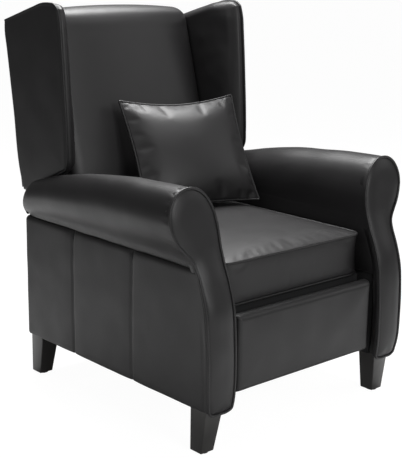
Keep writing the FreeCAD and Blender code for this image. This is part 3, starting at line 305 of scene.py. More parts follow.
class Shell:
    """Grids of points in millimetres, gathered into one closed mesh."""

    def __init__(self):
        self.points = []
        self.faces = []
        self.count = 0

    def grid(self, grid, around=False):
        rows, columns = grid.shape[:2]
        index = np.arange(rows * columns).reshape(rows, columns) + self.count
        self.points.append(grid.reshape(-1, 3))
        self.count += rows * columns
        looped = np.hstack([index, index[:, :1]]) if around else index
        quads = np.stack([looped[:-1, :-1], looped[:-1, 1:], looped[1:, 1:], looped[1:, :-1]], axis=-1)
        self.faces.append(quads.reshape(-1, 4))
        return index

    def join(self, first, second):
        first, second = np.r_[first, first[:1]], np.r_[second, second[:1]]
        self.faces.append(np.stack([first[:-1], first[1:], second[1:], second[:-1]], axis=-1))

    def slab(self, front, back):
        a, b = self.grid(front), self.grid(back)
        self.join(self.rim(a), self.rim(b))

    @staticmethod
    def rim(grid):
        return np.concatenate([grid[0, :-1], grid[:-1, -1], grid[-1, :0:-1], grid[:0:-1, 0]])

    def mesh(self, name, merge=0.05):
        mesh = bpy.data.meshes.new(name)
        points = np.vstack(self.points) / 1000
        faces = np.vstack(self.faces)
        mesh.from_pydata(points.tolist(), [], faces.tolist())
        work = bmesh.new()
        work.from_mesh(mesh)
        bmesh.ops.remove_doubles(work, verts=work.verts, dist=merge / 1000)
        bmesh.ops.recalc_face_normals(work, faces=work.faces)
        work.to_mesh(mesh)
        work.free()
        mesh.shade_smooth()
        return mesh


def smooth_leather(shade):
    pebble = shade.node("TexVoronoi", {"feature": "SMOOTH_F1"},
                        {"Vector": shade.stretched((1, 1, 1)), "Scale": 620.0, "Smoothness": 0.6})
    fibre = shade.cloud(330.0, 3.0, 0.6)
    crease = shade.cloud(17.0, 2.0, 0.45, (1, 1, 1), 0.3)
    broad = shade.cloud(6.0, 2.0)
    grain = shade.relief(0.6 * pebble + 0.4 * fibre, 0.0001)
    return {
        "Base Color": broad.blend((0.0062, 0.0058, 0.0062, 1), (0.0096, 0.0090, 0.0096, 1)),
        "Roughness": 0.38 + 0.10 * crease + 0.06 * fibre,
        "Normal": shade.relief(crease, 0.0005, grain),
        "Specular IOR Level": 0.42,
    }


leather = finish("black_leather", smooth_leather)
front_edge = table([(-424.6, 96), (-425, 108), (-430, 150), (-431.4, 204), (-430.7, 255), (-428, 300),
                    (-421.6, 357), (-404, 415), (-383.5, 461), (-371.2, 498), (-364, 535), (-357.5, 585),
                    (-351.5, 633), (-350, 645)])
side_seams = (-148.0, 97.0)
outer_edge = table([(338, 112), (340, 148), (343, 230), (345, 330), (344.6, 400), (345, 440), (346, 452)])
SEAM = 452.0
REAR = 321.0

for side_name, side in (("left", -1), ("right", 1)):
    shell = Shell()
    heights = np.concatenate([[115.0, 115.0, 116.5, 120.0], np.linspace(128, 440, 44), [445, 449, 452]])
    tuck = np.concatenate([[14.0, 5.0, 1.6, 0.3], np.zeros(44), [1.0, 3.5, 8.0]])
    corner = [(341 - 12 + 12 * math.cos(a), REAR - 12 + 12 * math.sin(a))
              for a in np.linspace(0, math.pi / 2, 9)]
    stops = np.linspace(0, 1, 150)
    rows = []
    for height, inset in zip(heights, tuck):
        start = float(front_edge(height)) + 2.0
        along = start + (REAR - 12 - start) * stops
        x = 341 + (outer_edge(height) - 341) * np.exp(-(along - start) / 60)
        puff = np.zeros_like(along)
        for seam in side_seams:
            gap = np.abs(along - seam)
            pinch = 1 + 1.3 * math.exp(-((height - 446) / 12.0) ** 2)
            puff -= 3.0 * pinch * np.exp(-(gap / 3.2) ** 2) + 1.3 * pinch * np.exp(-(gap / 22.0) ** 2)
        fade = np.clip((345 - height) / 60, 0, 1)
        puff -= 2.2 * fade * np.exp(-((along - start - 14) / 2.4) ** 2)
        puff += 2.2 * np.sin(np.clip((height - 115) / 337, 0, 1) * math.pi) ** 0.6
        x = x + puff - inset
        run = np.stack([x, along], axis=1)
        bend = np.array(corner) - [inset, inset]
        end = np.stack([np.linspace(bend[-1, 0], 266, 12)[1:], np.full(11, bend[-1, 1])], axis=1)
        rear_puff = 1.8 * np.sin(np.linspace(0, math.pi, 11))[:, None] * [0, 1]
        plan = np.vstack([run, bend[1:], end + rear_puff])
        rows.append(np.column_stack([side * plan[:, 0], plan[:, 1], np.full(len(plan), height)]))
    outside = np.array(rows)
    outside[..., 0] += side * ripples(outside, 70.0, 1.1, 4.0 + side)
    inside = outside.copy()
    inside[..., 0] = side * np.minimum(np.abs(inside[..., 0]), 341) - side * 9
    inside[..., 0] = side * np.maximum(np.abs(inside[..., 0]), 264.5)
    inside[..., 1] = np.clip(inside[..., 1], -1000, REAR - 9)
    shell.slab(outside, inside)
    mesh = shell.mesh(side_name + "_side_cover")
    cover = object_from(mesh.name, mesh, "base", leather)
    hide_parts(side_name + "_side_panel")

# Arm rolls: a foam roll on each arm, covered in one width that comes up the
# inside, over the top and down to the seam, and falls away to a rounded rear.
scroll = [(258, 452), (258, 490), (258.5, 520), (261, 545), (268, 572), (280, 597), (297, 617),
          (317, 629), (337, 633), (358, 630), (377, 619), (391, 601), (399, 580), (401, 558),
          (395, 535), (383, 512), (369, 494), (357, 480), (349, 468), (344, 456), (341, 452)]
section = trace(scroll, np.linspace(0, 1, 96))
roll_end, roll_middle, rear_round = 319.0, 337, 71
for side_name, side in (("left", -1), ("right", 1)):
    shell = Shell()
    share = np.concatenate([[0, 0.004, 0.010, 0.018], np.linspace(0.03, 0.90, 70),
                            1 - 0.10 * (1 - np.sin(np.linspace(0.03, 1, 24) * math.pi / 2))])
    lines = []
    for index, (x, z) in enumerate(section):
        start = float(front_edge(z)) + 2.0
        along = start + (roll_end - start) * share
        fall = np.clip((along + 425) / 744, 0, 1)
        shrink = 1 - 0.525 * fall**2.6
        into_end = np.clip((along - (roll_end - rear_round)) / rear_round, 0, 1)
        rounding = np.sqrt(np.maximum(1 - into_end**2, 0))
        gather = 1 - 0.012 * np.exp(-((along - start) / 7.0) ** 2)
        high = SEAM + (z - SEAM) * shrink * rounding * gather
        wide = roll_middle + (x - roll_middle) * (shrink if x > roll_middle else 1)
        centre = 305
        wide = centre + (wide - centre) * (0.45 + 0.55 * rounding)
        lines.append(np.column_stack([side * wide, along, high]))
    roll = np.array(lines).transpose(1, 0, 2)
    centre_line = roll.mean(axis=1, keepdims=True)
    outward = roll - centre_line
    outward /= np.maximum(np.linalg.norm(outward, axis=2, keepdims=True), 1e-6)
    swell_by = ripples(roll, 85.0, 2.2, 9.0 + side)
    front_gap = roll[..., 1] - (front_edge(SEAM + (roll[..., 2] - SEAM)) + 2)
    turned = np.arctan2(outward[..., 2], side * outward[..., 0])
    folds = np.sin(turned * 23) * 0.8 * (np.abs(roll[..., 0]) > 290)
    swell_by += folds * np.exp(-((front_gap - 9) / 9.0) ** 2)
    swell_by *= np.clip(front_gap / 8, 0, 1)
    swell_by *= np.clip((roll_end - roll[..., 1]) / 40, 0, 1)
    roll += outward * (swell_by * np.clip((np.abs(roll[..., 0]) - 258) / 14, 0, 1))[..., None]
    index = shell.grid(roll, around=True)
    for ring in (index[0], index[-1]):
        middle = np.vstack(shell.points)[ring].mean(axis=0)
        hub = np.tile(middle, (len(ring), 1))
        inner = shell.grid(np.stack([hub, hub]))
        shell.faces.pop()
        shell.join(ring, inner[0])
    heights = np.array([338.0, 339, 345, 380, 430, 455, 475, 490, 500])
    step_in = np.array([3.0, 0.8, 0.0, 0.0, 0.0, 0.0, 0.0, 0.6, 2.6])
    lines = []
    for height, inset in zip(heights, step_in):
        start = float(front_edge(height)) + 22.2
        along = start + (190.0 - start) * spread(50)
        edge = np.where(along > 184, (along - 184) * 0.4, 0) + 0.8 * np.exp(-(along - start) / 4)
        lines.append(np.column_stack([side * (257.6 + inset + edge), along, np.full(50, height)]))
    wall = np.array(lines)
    behind = wall.copy()
    behind[..., 0] = side * 263.6
    shell.slab(wall, behind)
    mesh = shell.mesh(side_name + "_roll_cover")
    mesh.set_sharp_from_angle(angle=math.radians(60))
    cover = object_from(mesh.name, mesh, "base", leather)
    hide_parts(side_name + "_arm_roll", side_name + "_inner_arm_pad")

# Arm fronts: a padded facing on each arm in the outline of the scroll, bent to
# the front curve, with a lip over the top of the leg and piping all round it.


def patch(low, high, left, right, across, up):
    """A grid between four sides. Low and high run left to right, the others up."""
    a, b, c, d = trace(low, across), trace(high, across), trace(left, up), trace(right, up)
    u, v = across[None, :, None], up[:, None, None]
    corners = ((1 - u) * (1 - v) * a[0] + u * (1 - v) * a[-1] + (1 - u) * v * b[0] + u * v * b[-1])
    return (1 - v) * a[None] + v * b[None] + (1 - u) * c[:, None] + u * d[:, None] - corners


def rim_points(grid):
    return np.vstack([grid[0, :-1], grid[:-1, -1], grid[-1, :0:-1], grid[:0:-1, 0]])


def edge_gap(grid):
    """Distance of each point of a flat grid from the grid's own rim."""
    rim = rim_points(grid)
    start, along = rim, np.roll(rim, -1, axis=0) - rim
    flat = grid.reshape(-1, 1, 2)
    t = ((flat - start) * along).sum(-1) / np.maximum((along**2).sum(-1), 1e-9)
    near = start + np.clip(t, 0, 1)[..., None] * along
    return np.sqrt(((flat - near) ** 2).sum(-1)).min(axis=1).reshape(grid.shape[:2])


def round_over(gap, radius):
    """Share of the full height at a distance from the edge, a quarter round."""
    t = np.clip(gap / radius, 0, 1)
    return np.sqrt(1 - (1 - t) ** 2)


def piping_tree():
    """Geometry nodes: a cord of leather swept along a path of edges."""
    tree = bpy.data.node_groups.new("piping", "GeometryNodeTree")
    for name, kind in (("Path", "NodeSocketGeometry"), ("Radius", "NodeSocketFloat"),
                       ("Spacing", "NodeSocketFloat"), ("Cover", "NodeSocketMaterial")):
        tree.interface.new_socket(name, in_out="INPUT", socket_type=kind)
    tree.interface.new_socket("Piping", in_out="OUTPUT", socket_type="NodeSocketGeometry")
    get, put = tree.nodes.new("NodeGroupInput"), tree.nodes.new("NodeGroupOutput")
    curve = tree.nodes.new("GeometryNodeMeshToCurve")
    even = tree.nodes.new("GeometryNodeResampleCurve")
    even.mode = "LENGTH"
    ring = tree.nodes.new("GeometryNodeCurvePrimitiveCircle")
    ring.inputs["Resolution"].default_value = 10
    sweep = tree.nodes.new("GeometryNodeCurveToMesh")
    sweep.inputs["Fill Caps"].default_value = True
    real = tree.nodes.new("GeometryNodeRealizeInstances")
    paint = tree.nodes.new("GeometryNodeSetMaterial")
    link = tree.links.new
    link(get.outputs["Path"], curve.inputs["Mesh"])
    link(curve.outputs["Curve"], even.inputs["Curve"])
    link(get.outputs["Spacing"], even.inputs["Length"])
    link(even.outputs["Curve"], sweep.inputs["Curve"])
    link(get.outputs["Radius"], ring.inputs["Radius"])
    link(ring.outputs["Curve"], sweep.inputs["Profile Curve"])
    link(sweep.outputs["Mesh"], real.inputs["Geometry"])
    link(real.outputs["Geometry"], paint.inputs["Geometry"])
    link(get.outputs["Cover"], paint.inputs["Material"])
    link(paint.outputs["Geometry"], put.inputs["Piping"])
    return tree


piping_nodes = piping_tree()


def piping(name, body, paths, radius):
    """Piping along paths in millimetres, each a list of points and whether it closes."""
    mesh = bpy.data.meshes.new(name + "_path")
    points, edges = [], []
    for path, closed in paths:
        first = len(points)
        points += [tuple(np.asarray(p) / 1000) for p in path]
        last = len(points)
        edges += [(i, i + 1) for i in range(first, last - 1)]
        if closed:
            edges.append((last - 1, first))
    mesh.from_pydata(points, edges, [])
    holder = bpy.data.objects.new(name + "_path", mesh)
    bpy.context.scene.collection.objects.link(holder)
    modifier = holder.modifiers.new("piping", "NODES")
    modifier.node_group = piping_nodes
    for item in piping_nodes.interface.items_tree:
        if item.in_out == "INPUT" and item.name != "Path":
            modifier[item.identifier] = {"Radius": radius / 1000, "Spacing": 0.004,
                                         "Cover": leather}[item.name]
    seen = holder.evaluated_get(bpy.context.evaluated_depsgraph_get())
    made = bpy.data.meshes.new_from_object(seen)
    made.name = name
    bpy.data.objects.remove(holder)
    work = bmesh.new()
    work.from_mesh(made)
    bmesh.ops.recalc_face_normals(work, faces=work.faces)
    work.to_mesh(made)
    work.free()
    made.shade_smooth()
    return object_from(name, made, body, leather)


arm_piping = []
for side_name, side in (("left", -1), ("right", 1)):
    inner = [(258.8, 128), (258.4, 200), (258.4, 300), (258.4, 420), (258.3, 490), (258.8, 520), (261.5, 545)]
    outer = [(333, 115), (338.5, 148), (341.5, 230), (343.5, 330), (343, 400), (344, 445), (349, 468),
             (357, 480), (369, 494), (383, 512), (394, 535), (400, 558)]
    over = [(261.5, 545), (268, 572), (280, 597), (297, 617), (317, 629), (337, 632.5), (358, 629.5),
            (377, 618.5), (390.5, 601), (398.5, 580), (400, 558)]
    under = [(258.8, 128), (262, 113), (276, 107.5), (300, 107), (322, 108.5), (333, 115)]
    flat = patch(under, over, inner, outer, spread(41, 0.7), spread(110, 0.3))
    gap = edge_gap(flat)
    bend = front_edge(flat[..., 1])
    crown = 8.5 * (1 - (1 - np.clip(gap / 40, 0, 1)) ** 2.2) - 1.5 * np.exp(-(gap / 4.0) ** 2)
    face = np.stack([side * flat[..., 0], bend + 1.5 - crown, flat[..., 1]], axis=-1)
    face[..., 1] -= ripples(face, 60.0, 1.6, 2.0 + side) * np.clip(gap / 12, 0, 1)
    rear = face.copy()
    rear[..., 1] = bend + np.where(flat[..., 1] < 118, 13.0, 22.0)
    shell = Shell()
    shell.slab(face, rear)
    mesh = shell.mesh(side_name + "_facing")
    facing = object_from(mesh.name, mesh, "base", leather)
    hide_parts(side_name + "_arm_front")
    rim = rim_points(flat)
    welt = np.column_stack([side * (rim[:, 0] + 0.4), front_edge(rim[:, 1]) + 0.6, rim[:, 1]])
    arm_piping.append((welt, True))
piping("arm_piping", "base", arm_piping, 3.4)

# Rear of the base: a padded panel between the arms, stapled to the rear rail.


def puffed(name, body, nodes_covered, low, high, puff, radius, x_half, y_front, y_back):
    """An upright padded panel whose padded face looks to y_front."""
    flat = patch([(-x_half, low), (x_half, low)], [(-x_half, high), (x_half, high)],
                 [(-x_half, low), (-x_half, high)], [(x_half, low), (x_half, high)],
                 spread(60, 0.7), spread(40, 0.7))
    gap = edge_gap(flat)
    out = -1 if y_front < y_back else 1
    face = np.stack([flat[..., 0], y_front + out * puff * round_over(gap, radius), flat[..., 1]], axis=-1)
    face[..., 1] += ripples(face, 80.0, 1.2) * np.clip(gap / 20, 0, 1)
    rear = face.copy()
    rear[..., 1] = y_back
    shell = Shell()
    shell.slab(face, rear)
    mesh = shell.mesh(name)
    panel = object_from(name, mesh, body, leather)
    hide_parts(*nodes_covered)
    return panel


puffed("rear_facing", "base", ["base_back_panel"], 115.5, 364.5, 3.0, 14.0, 263.5, 318.0, 309.5)

# Mechanism: zinc-plated flat steel links and a cross tube on blackened steel plates, rails and angles,
# joined with turned rivets whose heads are a little brighter than the plate.


def rivet_steel(shade):
    bloom = shade.cloud(60.0, 3.0, 0.6)
    return {
        "Base Color": bloom.blend((0.50, 0.50, 0.50, 1), (0.68, 0.67, 0.65, 1)),
        "Metallic": 1.0,
        "Roughness": 0.22 + 0.16 * bloom,
        "Normal": shade.relief(shade.cloud(700.0, 2.0), 0.00002),
    }


def blackened_steel(shade):
    bloom = shade.cloud(35.0, 4.0, 0.6)
    scratch = shade.cloud(240.0, 3.0, 0.7, (1, 0.05, 0.4))
    return {
        "Base Color": bloom.blend((0.035, 0.036, 0.038, 1), (0.085, 0.086, 0.09, 1)),
        "Metallic": 1.0,
        "Roughness": 0.34 + 0.2 * bloom,
        "Normal": shade.relief(scratch, 0.00005),
    }


dress(["left_base_plate", "right_base_plate", "left_seat_rail", "right_seat_rail", "back_brackets",
       "footrest_brackets"], finish("blackened_steel", blackened_steel))
dress(["front_glide_links", "rear_glide_links", "lower_links", "upper_links", "guide_links", "tie_links",
       "cross_tube"], bright_zinc)
dress(["base_pivot_pins", "seat_rail_pins", "elbow_pins", "cross_pins", "heel_pins", "footrest_pins"],
      finish("rivet_steel", rivet_steel))

# Seat platform: elastic webbing woven over and under, stapled to the rails.


def elastic_webbing(shade):
    ribs = shade.node("TexWave", {"wave_type": "BANDS", "bands_direction": "DIAGONAL"}, {
        "Vector": shade.stretched((1, 1, 0)), "Scale": 210.0, "Distortion": 0.4}, output=1)
    stripe = shade.node("TexWave", {"wave_type": "BANDS", "bands_direction": "X"}, {
        "Vector": shade.stretched((1, 1, 0)), "Scale": 13.0}, output=1)
    return {
        "Base Color": stripe.blend((0.03, 0.03, 0.032, 1), (0.10, 0.095, 0.09, 1)),
        "Roughness": 0.75 + 0.15 * ribs,
        "Normal": shade.relief(ribs, 0.0005),
    }


dress(["lengthwise_webbing", "crosswise_webbing"], finish("elastic_webbing", elastic_webbing))

# Seat cushion: foam in a boxed cover, its boxing drawn in between two rows of
# piping and its top crowned and a little slack, as leather is when it is sat on.


def swell(mesh, seams, pressure, reach, slack, frames=20):
    """Fills a closed cover with air as cloth, its seams held, moving at most reach."""
    scene = bpy.context.scene
    work = bpy.data.objects.new(mesh.name + "_cover", mesh)
    scene.collection.objects.link(work)
    held = work.vertex_groups.new(name="sewn")
    held.add([int(i) for i in seams], 1.0, "REPLACE")
    before = np.empty(len(mesh.vertices) * 3)
    mesh.vertices.foreach_get("co", before)
    cloth = work.modifiers.new("cloth", "CLOTH")
    cloth.settings.quality = 6
    cloth.settings.mass = 0.25
    cloth.settings.tension_stiffness = 40
    cloth.settings.compression_stiffness = 25
    cloth.settings.shear_stiffness = 12
    cloth.settings.bending_stiffness = 4.0
    cloth.settings.use_pressure = True
    cloth.settings.uniform_pressure_force = pressure
    cloth.settings.shrink_min = -slack
    cloth.settings.vertex_group_mass = "sewn"
    cloth.settings.pin_stiffness = 1.0
    cloth.settings.effector_weights.gravity = 0
    cloth.point_cache.frame_start, cloth.point_cache.frame_end = 1, frames + 1
    for step in range(1, frames + 1):
        scene.frame_set(step)
    seen = work.evaluated_get(bpy.context.evaluated_depsgraph_get())
    after = np.empty_like(before)
    seen.data.vertices.foreach_get("co", after)
    move = (after - before).reshape(-1, 3) * 1000
    length = np.linalg.norm(move, axis=1)
    scale = reach * np.tanh(length / reach) / np.maximum(length, 1e-9)
    mesh.vertices.foreach_set("co", (before.reshape(-1, 3) + move * scale[:, None] / 1000).ravel())
    bpy.data.objects.remove(work)
    scene.frame_set(1)
    mesh.update()


def near_points(mesh, targets, within):
    """Indices of the vertices nearest to points in millimetres."""
    co = np.empty(len(mesh.vertices) * 3)
    mesh.vertices.foreach_get("co", co)
    co = co.reshape(-1, 3) * 1000
    found = []
    for target in np.asarray(targets):
        gap = ((co - target) ** 2).sum(axis=1)
        best = int(gap.argmin())
        if gap[best] < within**2:
            found.append(best)
    return found


def places(mesh, indices):
    return np.array([mesh.vertices[i].co[:] for i in indices]) * 1000


def rounded_sides(x_half, low, high, corner):
    """The four sides of a rounded rectangle, split at its corners' middles."""
    up = np.linspace(0, 1, 12)[1:-1]
    left = [(-x_half + corner * (1 - math.cos(a)), low + corner * (1 - math.sin(a)))
            for a in np.linspace(math.pi / 4, 0, 5)]
    left += [(-x_half, low + corner + (high - low - 2 * corner) * t) for t in up]
    left += [(x, low + high - y) for x, y in left[4::-1]]
    under = [(-x_half + corner * (1 - math.sin(a)), low + corner * (1 - math.cos(a)))
             for a in np.linspace(math.pi / 4, 0, 5)]
    under += [(-x_half + corner + (2 * x_half - 2 * corner) * t, low) for t in up]
    under += [(-x, y) for x, y in under[4::-1]]
    right = [(-x, y) for x, y in left]
    above = [(x, low + high - y) for x, y in under]
    return under, above, left, right


under, above, left, right = rounded_sides(243.5, -370.0, 220.0, 30.0)
plan = patch(under, above, left, right, spread(84, 0.25), spread(100, 0.25))
top_seam, bottom_seam, crown_rise = 443, 338.5, 22
u = 2 * spread(84, 0.25)[None, :] - 1
v = 2 * spread(100, 0.25)[:, None] - 1
crown = crown_rise * ((1 - np.abs(u) ** 2.6) * (1 - np.abs(v) ** 3.2)) ** 0.6
top = np.stack([plan[..., 0], plan[..., 1], top_seam + crown], axis=-1)
bottom = np.stack([plan[..., 0], plan[..., 1], np.full(plan.shape[:2], bottom_seam)], axis=-1)
shell = Shell()
shell.grid(top)
shell.grid(bottom)
top_rim, bottom_rim = rim_points(top), rim_points(bottom)
steps = np.linspace(0, 1, 18)
boxing = []
for share in steps:
    ring = bottom_rim * (1 - share) + top_rim * share
    middle = np.array([0, -75, 0])
    draw_in = 3.0 * math.sin(share * math.pi)
    direction = (ring - middle) * [1, 1, 0]
    direction /= np.linalg.norm(direction, axis=1, keepdims=True)
    boxing.append(ring - direction * draw_in)
shell.grid(np.array(boxing), around=True)
mesh = shell.mesh("seat_cover")
welts = [near_points(mesh, top_rim, 0.5), near_points(mesh, bottom_rim, 0.5)]
swell(mesh, welts[0] + welts[1], 3.0, 6.0, 0.001)
cushion = object_from("seat_cover", mesh, "seat", leather)
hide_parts("seat_cushion")
piping("seat_piping", "seat", [(places(mesh, w), True) for w in welts], 3.3)

# Footrest: a padded panel on a plywood board, its cover pulled smooth round
# the edges. Shut, it stands upright under the seat.
under, above, left, right = rounded_sides(239.0, 136.5, 329.5, 10.0)
flat = patch(under, above, left, right, spread(80, 0.75), spread(56, 0.75))
gap = edge_gap(flat)
board_face, edge_rise, middle_rise = -397.5, 19.5, 4.5
domed = 1 - (1 - np.clip(gap / 95, 0, 1)) ** 2
out = board_face - edge_rise * round_over(gap, 15.0) - middle_rise * domed
face = np.stack([flat[..., 0], out, flat[..., 1]], axis=-1)
face[..., 1] += ripples(face, 75.0, 1.6, 5.0) * np.clip(gap / 25, 0, 1)
face[..., 1] += ripples(face * [1, 1, 0.25], 40.0, 0.6, 8.0) * np.exp(-((flat[..., 1] - 322) / 22) ** 2)
rear = face.copy()
rear[..., 1] = -397.3
shell = Shell()
shell.slab(face, rear)
mesh = shell.mesh("footrest_cover")
footrest_cover = object_from("footrest_cover", mesh, "footrest", leather)
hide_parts("footrest_pad")

# Outside back: a padded panel over the rear of the frame, with piping up both
# sides, that turns forward between the arms at its foot.


def rear_at(height):
    return 362 + (height - 517) * 0.15753


shell = Shell()
flat = patch([(-317.5, 518), (317.5, 518)], [(-317.5, 954), (317.5, 954)], [(-317.5, 518), (-317.5, 954)],
             [(317.5, 518), (317.5, 954)], spread(80, 0.7), spread(60, 0.7))
gap = edge_gap(flat)
face = np.stack([flat[..., 0], rear_at(flat[..., 1]) - 3 + 5 * round_over(gap, 18.0), flat[..., 1]], axis=-1)
face[..., 1] += ripples(face, 90.0, 1.6, 3.0) * np.clip(gap / 20, 0, 1)
inside = np.stack([flat[..., 0], rear_at(flat[..., 1]) - 9.8, flat[..., 1]], axis=-1)
shell.slab(face, inside)
kick = trace([(291, 381), (291, 398), (305, 420), (340, 482), (361, 517), (364, 530)], np.linspace(0, 1, 30))
across = 249.3 * (2 * spread(50, 0.7) - 1)
face = np.stack([np.tile(across, (30, 1)), np.tile(kick[:, :1], (1, 50)),
                 np.tile(kick[:, 1:], (1, 50))], axis=-1)
inside = face - [0, 7.5, 0]
face[..., 1] -= 2.5 * np.exp(-((249.3 - np.abs(face[..., 0])) / 8) ** 2)
shell.slab(face, inside)
mesh = shell.mesh("outside_cover")
outside = object_from("outside_cover", mesh, "back", leather)
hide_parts("outside_back")
edge = trace([(317, 519), (317.5, 700), (317, 953)], np.linspace(0, 1, 60))
edges = [(np.column_stack([side * edge[:, 0], rear_at(edge[:, 1]) - 1.5, edge[:, 1]]), False)
         for side in (-1, 1)]
piping("outside_piping", "back", edges, 3.0)

# Wings: a plywood board with a thin padded panel outside and a thick foam pad
# inside that runs into the crease beside the back. Piping follows the edge.
wing_front = [(157, 594), (151.5, 606), (150, 640), (152, 700), (158.5, 800), (164.5, 880), (169.5, 935),
              (173.5, 972), (182.5, 1002)]
wing_top = [(182.5, 1002), (198, 1012.5), (220, 1014.5), (246, 1013.5), (300, 1000), (370, 980), (430, 963)]
wing_rear = [(354, 512), (370, 556), (397, 730), (422.5, 890), (431, 940), (430, 963)]
wing_foot = [(157, 594), (173, 587), (230, 559), (290, 532), (335, 513), (354, 512)]
wing_inner, board_side, band_side = 249.8, 316.0, 302.4
wing_piping = []
for side_name, side in (("left", -1), ("right", 1)):
    flat = patch(wing_foot, wing_top, wing_front, wing_rear, spread(70, 0.6), spread(110, 0.35))
    gap = edge_gap(flat)
    y, z = flat[..., 0], flat[..., 1]
    shell = Shell()
    outer = 317.5 + 5.0 * round_over(gap, 9.0) + 2.5 * (1 - (1 - np.clip(gap / 90, 0, 1)) ** 2)
    face = np.stack([side * outer, y, z], axis=-1)
    face[..., 0] += side * ripples(face, 85.0, 1.8, 6.0 + side) * np.clip(gap / 20, 0, 1)
    rear = np.stack([np.full(y.shape, side * board_side), y, z], axis=-1)
    shell.slab(face, rear)
    mesh = shell.mesh(side_name + "_wing_cover")
    cover = object_from(mesh.name, mesh, "back", leather)
    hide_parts(side_name + "_wing_panel")

    shell = Shell()
    front = np.interp(z, *zip(*sorted((h, w) for w, h in wing_front)))
    crease = 172 + (z - 474) * 0.2746 + 34
    depth = np.clip((y - front) / np.maximum(crease - front, 1), 0, 1)
    inner = 296 - 46.5 * (0.62 * np.sqrt(depth) + 0.38 * depth) - 5 * np.sin(depth * math.pi) ** 1.2
    inner = np.maximum(inner, wing_inner)
    thick = board_side - inner
    face = np.stack([side * (band_side - (thick - 13.6) * round_over(gap, 26.0)), y, z], axis=-1)
    soft = ripples(face, 75.0, 2.4, 12.0 + side) + ripples(face, 34.0, 0.7, 3.0 + side)
    face[..., 0] -= side * soft * np.clip(gap / 25, 0, 1) * np.clip((crease - y) / 40, 0, 1)
    face[..., 0] = side * np.maximum(np.abs(face[..., 0]), wing_inner)
    rear = np.stack([np.full(y.shape, side * board_side), y, z], axis=-1)
    shell.slab(face, rear)
    mesh = shell.mesh(side_name + "_wing_lining")
    lining = object_from(mesh.name, mesh, "back", leather)
    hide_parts(side_name + "_wing_pad")
    path = np.vstack([trace(wing_foot[::-1], spread(50, 0))[8:], trace(wing_front, spread(90, 0))[1:],
                      trace(wing_top, spread(60, 0))[1:]])
    wing_piping.append((np.column_stack([np.full(len(path), side * 317.5), path]), False))
piping("wing_piping", "back", wing_piping, 3.2)

# Back cushion: a crowned foam pad between the wings, its cover drawn over the
# top rail and tucked into the creases at the sides and behind the seat.
profile = trace([(200, 475), (184, 492), (193, 550), (217.6, 640), (239.5, 720), (261.5, 800), (283.5, 880),
                 (297.5, 930), (308, 962), (326, 988), (352, 1001), (378, 1002), (402, 990), (416, 968),
                 (419, 945)], spread(120, 0.1))
back_half = 249.0
u = 2 * spread(90, 0.55) - 1
x = back_half * u
sideways = np.abs(u)
edge = (1 - sideways) * back_half
height = np.tile(profile[:, 1:], (1, 90))
depth = np.tile(profile[:, :1], (1, 90))
reach_up = np.clip((profile[:, 1] - 930) / 73, 0, 1)[:, None]
on_front = np.where(np.arange(120)[:, None] < profile[:, 1].argmax(), 1.0, 0.0) * (1 - 0.75 * reach_up**2)
round_side = 1 - round_over(edge, 34.0)
depth = depth + on_front * (26 * (sideways**2.6) + 16 * round_side)[None, :]
height = height - reach_up * (12 * sideways**2.2 + 26 * round_side)[None, :]
face = np.stack([np.tile(x, (120, 1)), depth, height], axis=-1)
back = face.copy()
back[..., 1] = np.maximum(back[..., 1], np.minimum(rear_at(back[..., 2]) - 56, 366))
shell = Shell()
shell.slab(face, back)
mesh = shell.mesh("back_cover", 0.01)
back_cover = object_from("back_cover", mesh, "back", leather)
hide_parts("back_cushion")

# Pillow: a loose knife-edge cushion with piping in its seam, softly filled, so
# that its corners stand out and its top edge sags between them.
across = spread(64, 0.35)
half_wide, half_high = 186.0, 166.0


def pillow_side(start, end, sag, count=9):
    """A side of the pillow from corner to corner that draws in at its middle."""
    t = np.linspace(0, 1, count)[:, None]
    start, end = np.array(start, float), np.array(end, float)
    inward = -(start + end) / np.linalg.norm(start + end)
    return start + (end - start) * t + inward * sag * np.sin(t * math.pi) ** 0.9


c = 6.0
corners = [(-half_wide + c, -half_high + c), (half_wide - c, -half_high + c),
           (half_wide - c, half_high - c), (-half_wide + c, half_high - c)]
flat = patch(pillow_side(corners[0], corners[1], 10), pillow_side(corners[3], corners[2], 22),
             pillow_side(corners[0], corners[3], 10), pillow_side(corners[1], corners[2], 9), across, across)
u, v = 2 * across[None, :] - 1, 2 * across[:, None] - 1
loft = 40 * ((1 - u**2) * (1 - v**2)) ** 0.62
front_face = np.stack([flat[..., 0], -loft, flat[..., 1]], axis=-1)
rear_face = np.stack([flat[..., 0], loft, flat[..., 1]], axis=-1)
shell = Shell()
shell.grid(front_face)
shell.grid(rear_face)
mesh = shell.mesh("pillow_cover", 0.02)
seam = near_points(mesh, rim_points(front_face), 1.0)
place = (Matrix.Translation((0.062, 0.102, 0.614)) @ Matrix.Rotation(math.radians(-11), 4, "Z")
         @ Matrix.Rotation(math.radians(-30), 4, "X"))
swell(mesh, seam[::3], 3.0, 9.0, 0.006)
mesh.transform(place)
pillow = object_from("pillow_cover", mesh, "pillow", leather)
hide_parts("pillow")
piping("pillow_piping", "pillow", [(places(mesh, seam), True)], 3.0)

# Studio: a white floor and background, two large softboxes at the sides, one
# overhead and a low one behind the camera.


def floor_paint():
    material = bpy.data.materials.new("studio_floor")
    material.use_nodes = True
    tree = material.node_tree
    tree.nodes.clear()
    shade = Shade(tree)
    paint = shade.node("BsdfDiffuse", None, {"Color": (0.85, 0.85, 0.85, 1)})
    white = shade.node("Emission", None, {"Color": (1, 1, 1, 1), "Strength": 1.1})
    seen = shade.node("LightPath") * 0.88
    mixed = shade.node("MixShader", None, {0: seen, 1: paint, 2: white})
    out = tree.nodes.new("ShaderNodeOutputMaterial")
    tree.links.new(mixed.socket, out.inputs["Surface"])
    return material


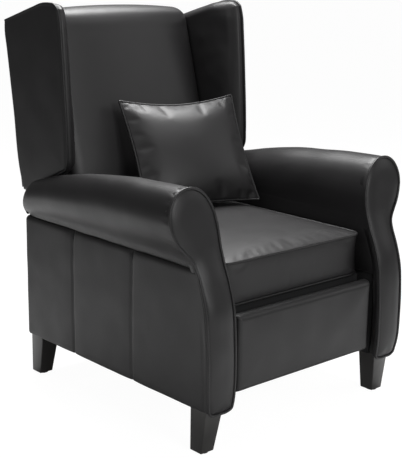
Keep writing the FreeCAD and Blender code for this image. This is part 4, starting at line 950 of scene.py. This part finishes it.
mesh = bpy.data.meshes.new("floor")
mesh.from_pydata([(-60, -60, 0), (60, -60, 0), (60, 60, 0), (-60, 60, 0)], [], [(0, 1, 2, 3)])
mesh.materials.append(floor_paint())
floor = bpy.data.objects.new("floor", mesh)
bpy.context.scene.collection.objects.link(floor)

world = bpy.data.worlds.new("studio")
bpy.context.scene.world = world
world.use_nodes = True
world.node_tree.nodes.clear()
shade = Shade(world.node_tree)
seen = shade.node("LightPath")
mirrored = shade.node("LightPath", output=3) + shade.node("LightPath", output=6)
strength = 0.12 + 0.88 * seen + 0.04 * mirrored
background = shade.node("Background", None, {"Color": (1, 1, 1, 1), "Strength": strength})
out = world.node_tree.nodes.new("ShaderNodeOutputWorld")
world.node_tree.links.new(background.socket, out.inputs["Surface"])


def softbox(name, place, aim, size, power):
    lamp = bpy.data.lights.new(name, "AREA")
    lamp.shape, lamp.size, lamp.size_y, lamp.energy = "RECTANGLE", size[0], size[1], power
    holder = bpy.data.objects.new(name, lamp)
    holder.location = place
    holder.rotation_euler = (Vector(aim) - Vector(place)).to_track_quat("-Z", "Y").to_euler()
    bpy.context.scene.collection.objects.link(holder)


softbox("left_softbox", (-2.6, -0.6, 2.1), (0, 0, 0.5), (1.2, 1.6), 9)
softbox("right_softbox", (2.3, -1.9, 1.9), (0, 0, 0.5), (1.1, 1.6), 12)
softbox("top_softbox", (0.4, 0.5, 2.6), (0, -0.1, 0.4), (1.4, 1.2), 120)
softbox("front_softbox", (-0.5, -3.3, 1.8), (0, 0, 0.5), (1.2, 1.2), 42)

# Camera: at the height of a standing person's chest, left of the chair's front.
lens = bpy.data.cameras.new("camera")
lens.lens, lens.sensor_width, lens.sensor_fit = 85.13, 36.0, "AUTO"
lens.clip_start, lens.clip_end = 0.05, 300
camera = bpy.data.objects.new("camera", lens)
bpy.context.scene.collection.objects.link(camera)
turn, tip, roll = math.radians(-41.885), math.radians(13.718), math.radians(0.869)
backward = Vector((math.sin(turn) * math.cos(tip), -math.cos(turn) * math.cos(tip), math.sin(tip)))
right_hand = Vector((0, 0, 1)).cross(backward).normalized()
upward = backward.cross(right_hand)
right_tilted = math.cos(roll) * right_hand + math.sin(roll) * upward
up_tilted = -math.sin(roll) * right_hand + math.cos(roll) * upward
camera.matrix_world = Matrix((
    (right_tilted.x, up_tilted.x, backward.x, -1.8932),
    (right_tilted.y, up_tilted.y, backward.y, -2.1274),
    (right_tilted.z, up_tilted.z, backward.z, 1.1162),
    (0, 0, 0, 1)))
bpy.context.scene.camera = camera
bpy.context.scene.view_settings.view_transform = "Standard"
